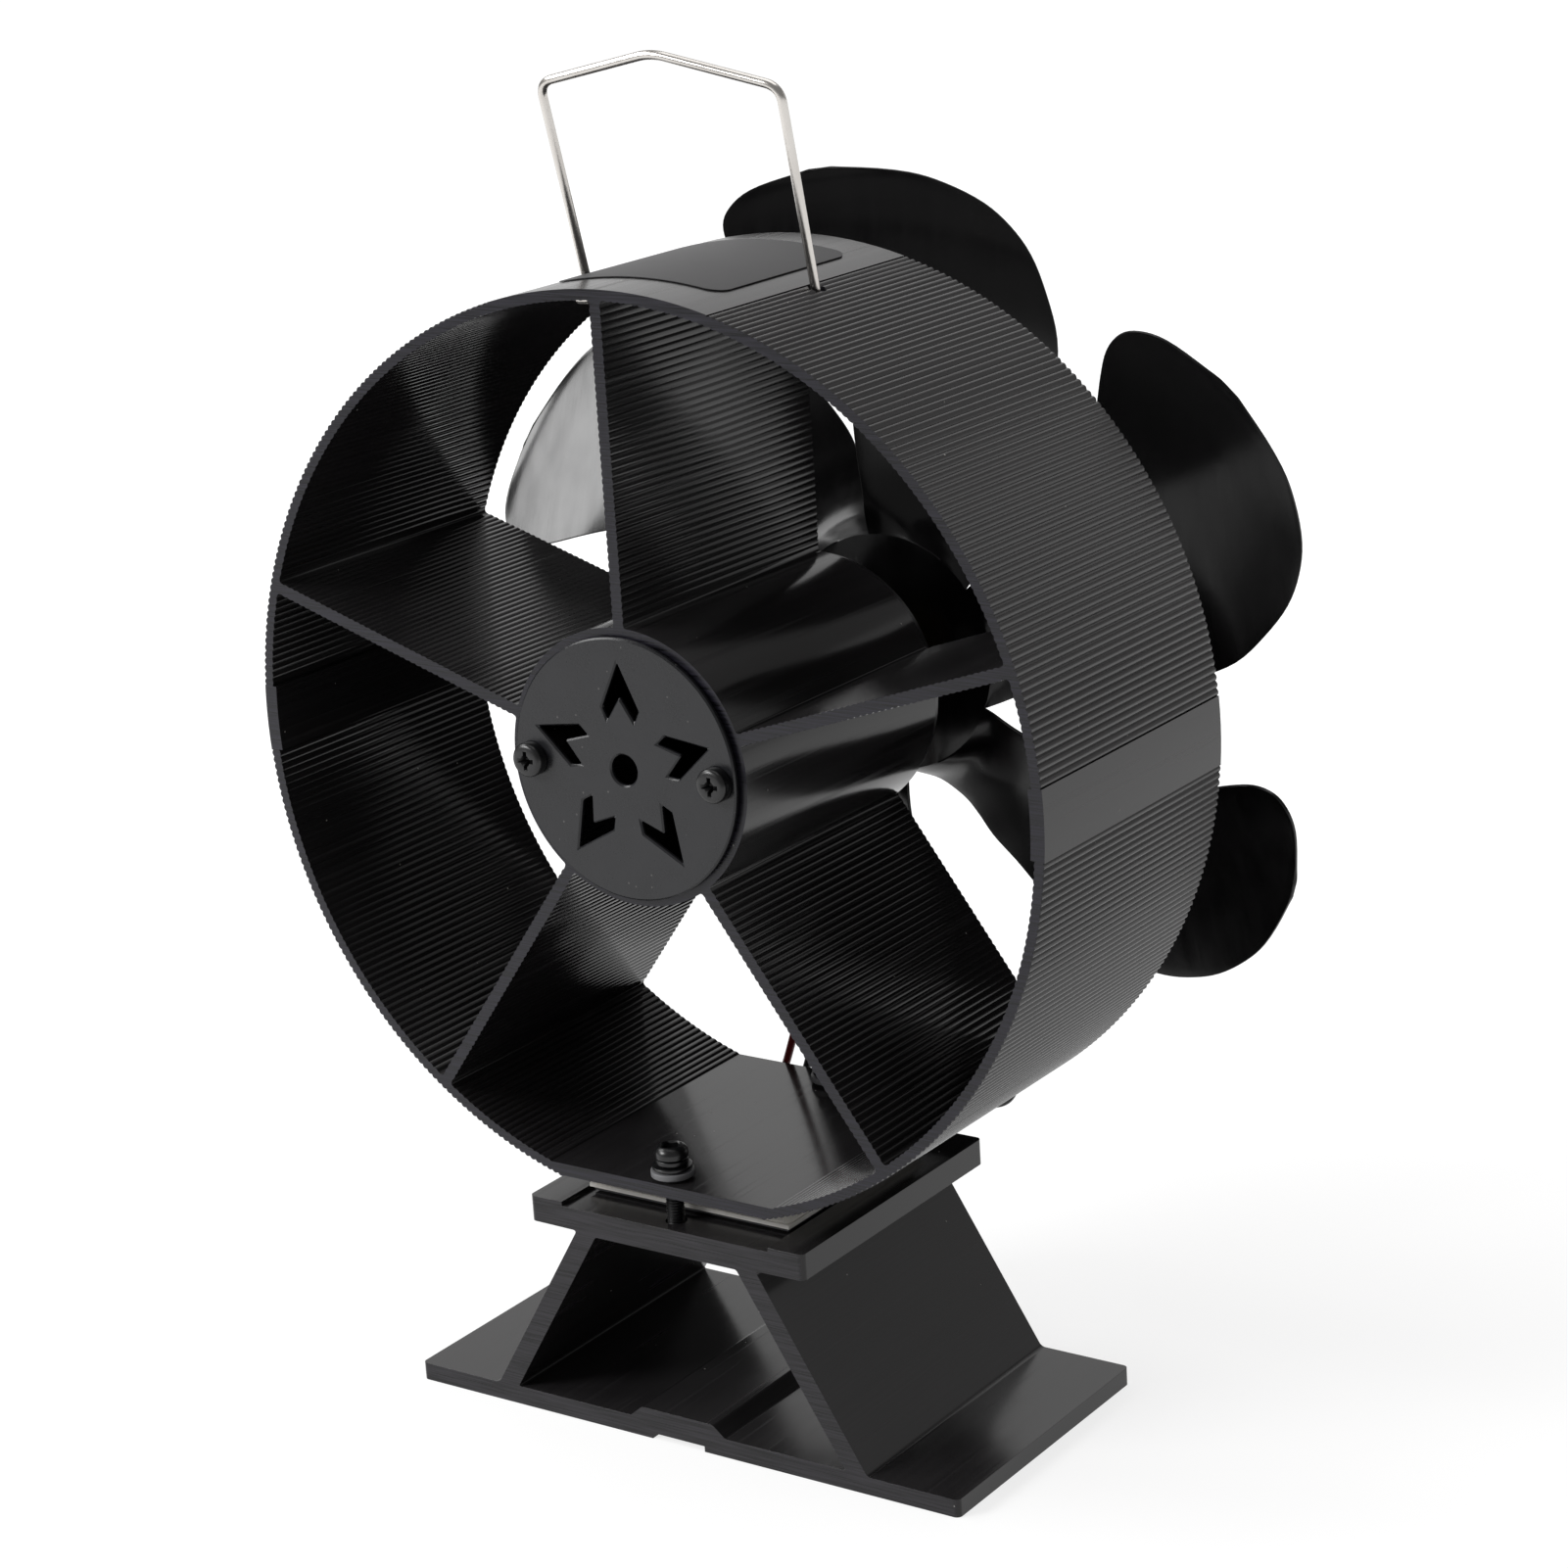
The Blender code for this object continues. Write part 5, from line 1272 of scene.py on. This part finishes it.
def make_label():
    """A bare foil plate with round corners, wrapped on the smooth top band."""
    low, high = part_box("label_plate")
    inner = RING_RADIUS + RUNNING_GAP
    half_arc = math.radians(LABEL_HALF_ANGLE) * inner
    outline = rounded_plate(half_arc, (high.y - low.y) / 2, LABEL_CORNER)
    label = extruded("bare_label", [outline], 0, LABEL_THICK, "Z")
    middle = middle_depth("label_plate")

    def wrap(bm):
        for i in range(1, LABEL_SLICES):
            whole = bm.verts[:] + bm.edges[:] + bm.faces[:]
            at = half_arc * (2 * i / LABEL_SLICES - 1)
            bmesh.ops.bisect_plane(bm, geom=whole, dist=WELD, plane_co=(at, 0, 0), plane_no=(1, 0, 0))
        bmesh.ops.triangulate(bm, faces=bm.faces)
        for vertex in bm.verts:
            angle = vertex.co.x / inner
            radius = inner + vertex.co.z
            up = HUB_Z + radius * math.cos(angle)
            vertex.co = (radius * math.sin(angle), vertex.co.y + middle, up)

    put(edited(label, wrap), "stand", LABEL_FOIL, "label_plate")


def make_lead(name, start_x, side, finish):
    """One lead: out of the module's back edge, up behind the ring and in through the motor plate."""
    clear = LEAD_RADIUS + GAP
    module_back = MODULE_HIGH.y - MIDDLE_Y + GAP
    plate_front, plate_back = depths("motor_plate")
    tab = "motor_terminal_left" if side < 0 else "motor_terminal_right"
    tab_low, tab_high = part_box(tab)
    can_front = depths("motor_can")[0]
    tab_x = tab_low.x if side < 0 else tab_high.x
    tab_y = depths(tab)[0] + LEAD_RADIUS + 2 * GAP
    tab_z = tab_low.z - GAP
    behind_ring = RING_BACK + 2 * clear
    behind_plate = plate_back + 2 * clear
    near_x = side * LEAD_SPREAD
    level = RECESS_FLOOR + LEAD_RISE
    slot_z = HUB_Z - (LEAD_SLOT_TOP + LEAD_SLOT_BOTTOM) / 2

    def bend(shares, depth):
        across, up = shares
        return (start_x + (near_x - start_x) * across, depth, level + (slot_z - level) * up)

    into_x, into_z = LEAD_TAB_BEND
    route = [
        (start_x, module_back, level),
        (start_x, (module_back + RING_BACK) / 2, level),
        (start_x, behind_ring - clear / 2, level + clear),
        bend(LEAD_LOW_BEND, behind_ring),
        bend(LEAD_HIGH_BEND, behind_ring + clear / 2),
        (near_x, behind_plate, level + (slot_z - level) * LEAD_TOP_BEND),
        (near_x, behind_plate, slot_z - 2 * clear),
        (near_x, plate_back, slot_z),
        (near_x, (plate_front + can_front) / 2, slot_z),
        (near_x, can_front - clear, slot_z),
        (near_x + (tab_x - near_x) * into_x, tab_y, slot_z + (tab_z - slot_z) * into_z),
        (tab_x, tab_y, tab_z - 3 * clear),
        (tab_x, tab_y, tab_z),
    ]
    put(wire(name + "_wire", smooth_path(route, LEAD_STEPS), LEAD_RADIUS), "stand", finish, name)


# Pieces kept from the frame, with a finish each


KEPT = [
    (FIRED_CERAMIC, "module_hot_ceramic", "module_cold_ceramic"),
    (GRAPHITE, "lower_thermal_pad", "upper_thermal_pad"),
    (ROLLED_STRIP, "bimetal_strip"),
    (PLATED_STEEL, "bimetal_rivet", "motor_can", "motor_shaft"),
    (WHITE_PLASTIC, "motor_end_cap"),
    (BRASS, "motor_terminal_left", "motor_terminal_right", "motor_commutator"),
    (FERRITE, "motor_magnet_top", "motor_magnet_bottom"),
    (BRONZE, "motor_bearing_front", "motor_bearing_rear"),
    (COPPER, "motor_armature"),
    (BLACK_OXIDE, "fan_grub_screw"),
]


def finish_kept_nodes():
    for finish, *names in KEPT:
        for name in names:
            for material_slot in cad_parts[name].material_slots:
                material_slot.material = finish


# Camera, light and floor


def make_camera():
    azimuth, elevation, roll = (math.radians(a) for a in (CAMERA_AZIMUTH, CAMERA_ELEVATION, CAMERA_ROLL))
    level = math.cos(elevation)
    back = Vector((math.sin(azimuth) * level, -math.cos(azimuth) * level, math.sin(elevation)))
    right = Vector((math.cos(azimuth), math.sin(azimuth), 0))
    up = back.cross(right)
    rolled_right = right * math.cos(roll) + up * math.sin(roll)
    rolled_up = up * math.cos(roll) - right * math.sin(roll)
    data = bpy.data.cameras.new("photo_camera")
    data.lens = CAMERA_LENS
    data.sensor_width = CAMERA_SENSOR
    camera = bpy.data.objects.new("photo_camera", data)
    turn = Matrix((rolled_right, rolled_up, back)).transposed().to_4x4()
    camera.matrix_world = Matrix.Translation(CAMERA_AT) @ turn
    link(camera)
    bpy.context.scene.camera = camera


def make_world():
    world = bpy.data.worlds.new("studio")
    bpy.context.scene.world = world
    world.use_nodes = True
    background = world.node_tree.nodes["Background"]
    background.inputs["Color"].default_value = STUDIO_COLOUR
    background.inputs["Strength"].default_value = STUDIO_STRENGTH


def seen_directly(f):
    """1 for camera, glossy and transmission rays, which show the pale background, and 0 for the rest."""
    rays = f.add("ShaderNodeLightPath").node.outputs
    either = f.math("MAXIMUM", rays["Is Camera Ray"], rays["Is Glossy Ray"])
    return f.math("MAXIMUM", either, rays["Is Transmission Ray"])


def pale_floor():
    """White behind the object, soft where its shadow lies, and darker far in front of it."""
    fixed = {"Base Color": FLOOR_GREY, "Roughness": 0.9, "Specular IOR Level": 0.0}
    f = Finish("pale_floor", fixed | {"Emission Strength": 1.0})
    away = f.number("ShaderNodeVectorMath", {"operation": "LENGTH"}, {0: f.where}, "Value")
    depth = f.number("ShaderNodeSeparateXYZ", None, {"Vector": f.where}, "Y")
    glow = away.ramp(*GLOW_WITH_DISTANCE) * depth.ramp(*GLOW_FROM_FRONT) * seen_directly(f)
    f.feed(f.shader.inputs["Emission Color"], f.colour(glow, (0, 0, 0), (1, 1, 1)))
    return f.material


def make_floor():

    def build(bm):
        bmesh.ops.create_grid(bm, x_segments=1, y_segments=1, size=FLOOR_HALF)

    floor = mesh_object("floor", build)
    floor.data.materials.append(pale_floor())
    link(floor)


def make_lamps():
    for name, (at, size, power) in LAMPS.items():
        data = bpy.data.lights.new(name, "AREA")
        data.shape = "RECTANGLE"
        data.size, data.size_y = size
        data.energy = power
        lamp = bpy.data.objects.new(name, data)
        lamp.location = at
        lamp.rotation_euler = (Vector(LAMP_AIM) - Vector(at)).to_track_quat("-Z", "Y").to_euler()
        link(lamp)


make_camera()
make_world()
make_floor()
make_lamps()
make_base()
make_module_seal()
make_radiator()
for clamp_end in ("front", "rear"):
    make_clamp(clamp_end)
make_cover()
make_motor_plate()
make_screws()
make_fan()
make_handle()
make_label()
make_lead("red_lead", RED_LEAD_START, -1, RED_SLEEVE)
make_lead("black_lead", BLACK_LEAD_START, 1, BLACK_SLEEVE)
finish_kept_nodes()
bpy.context.scene.view_settings.view_transform = "Standard"
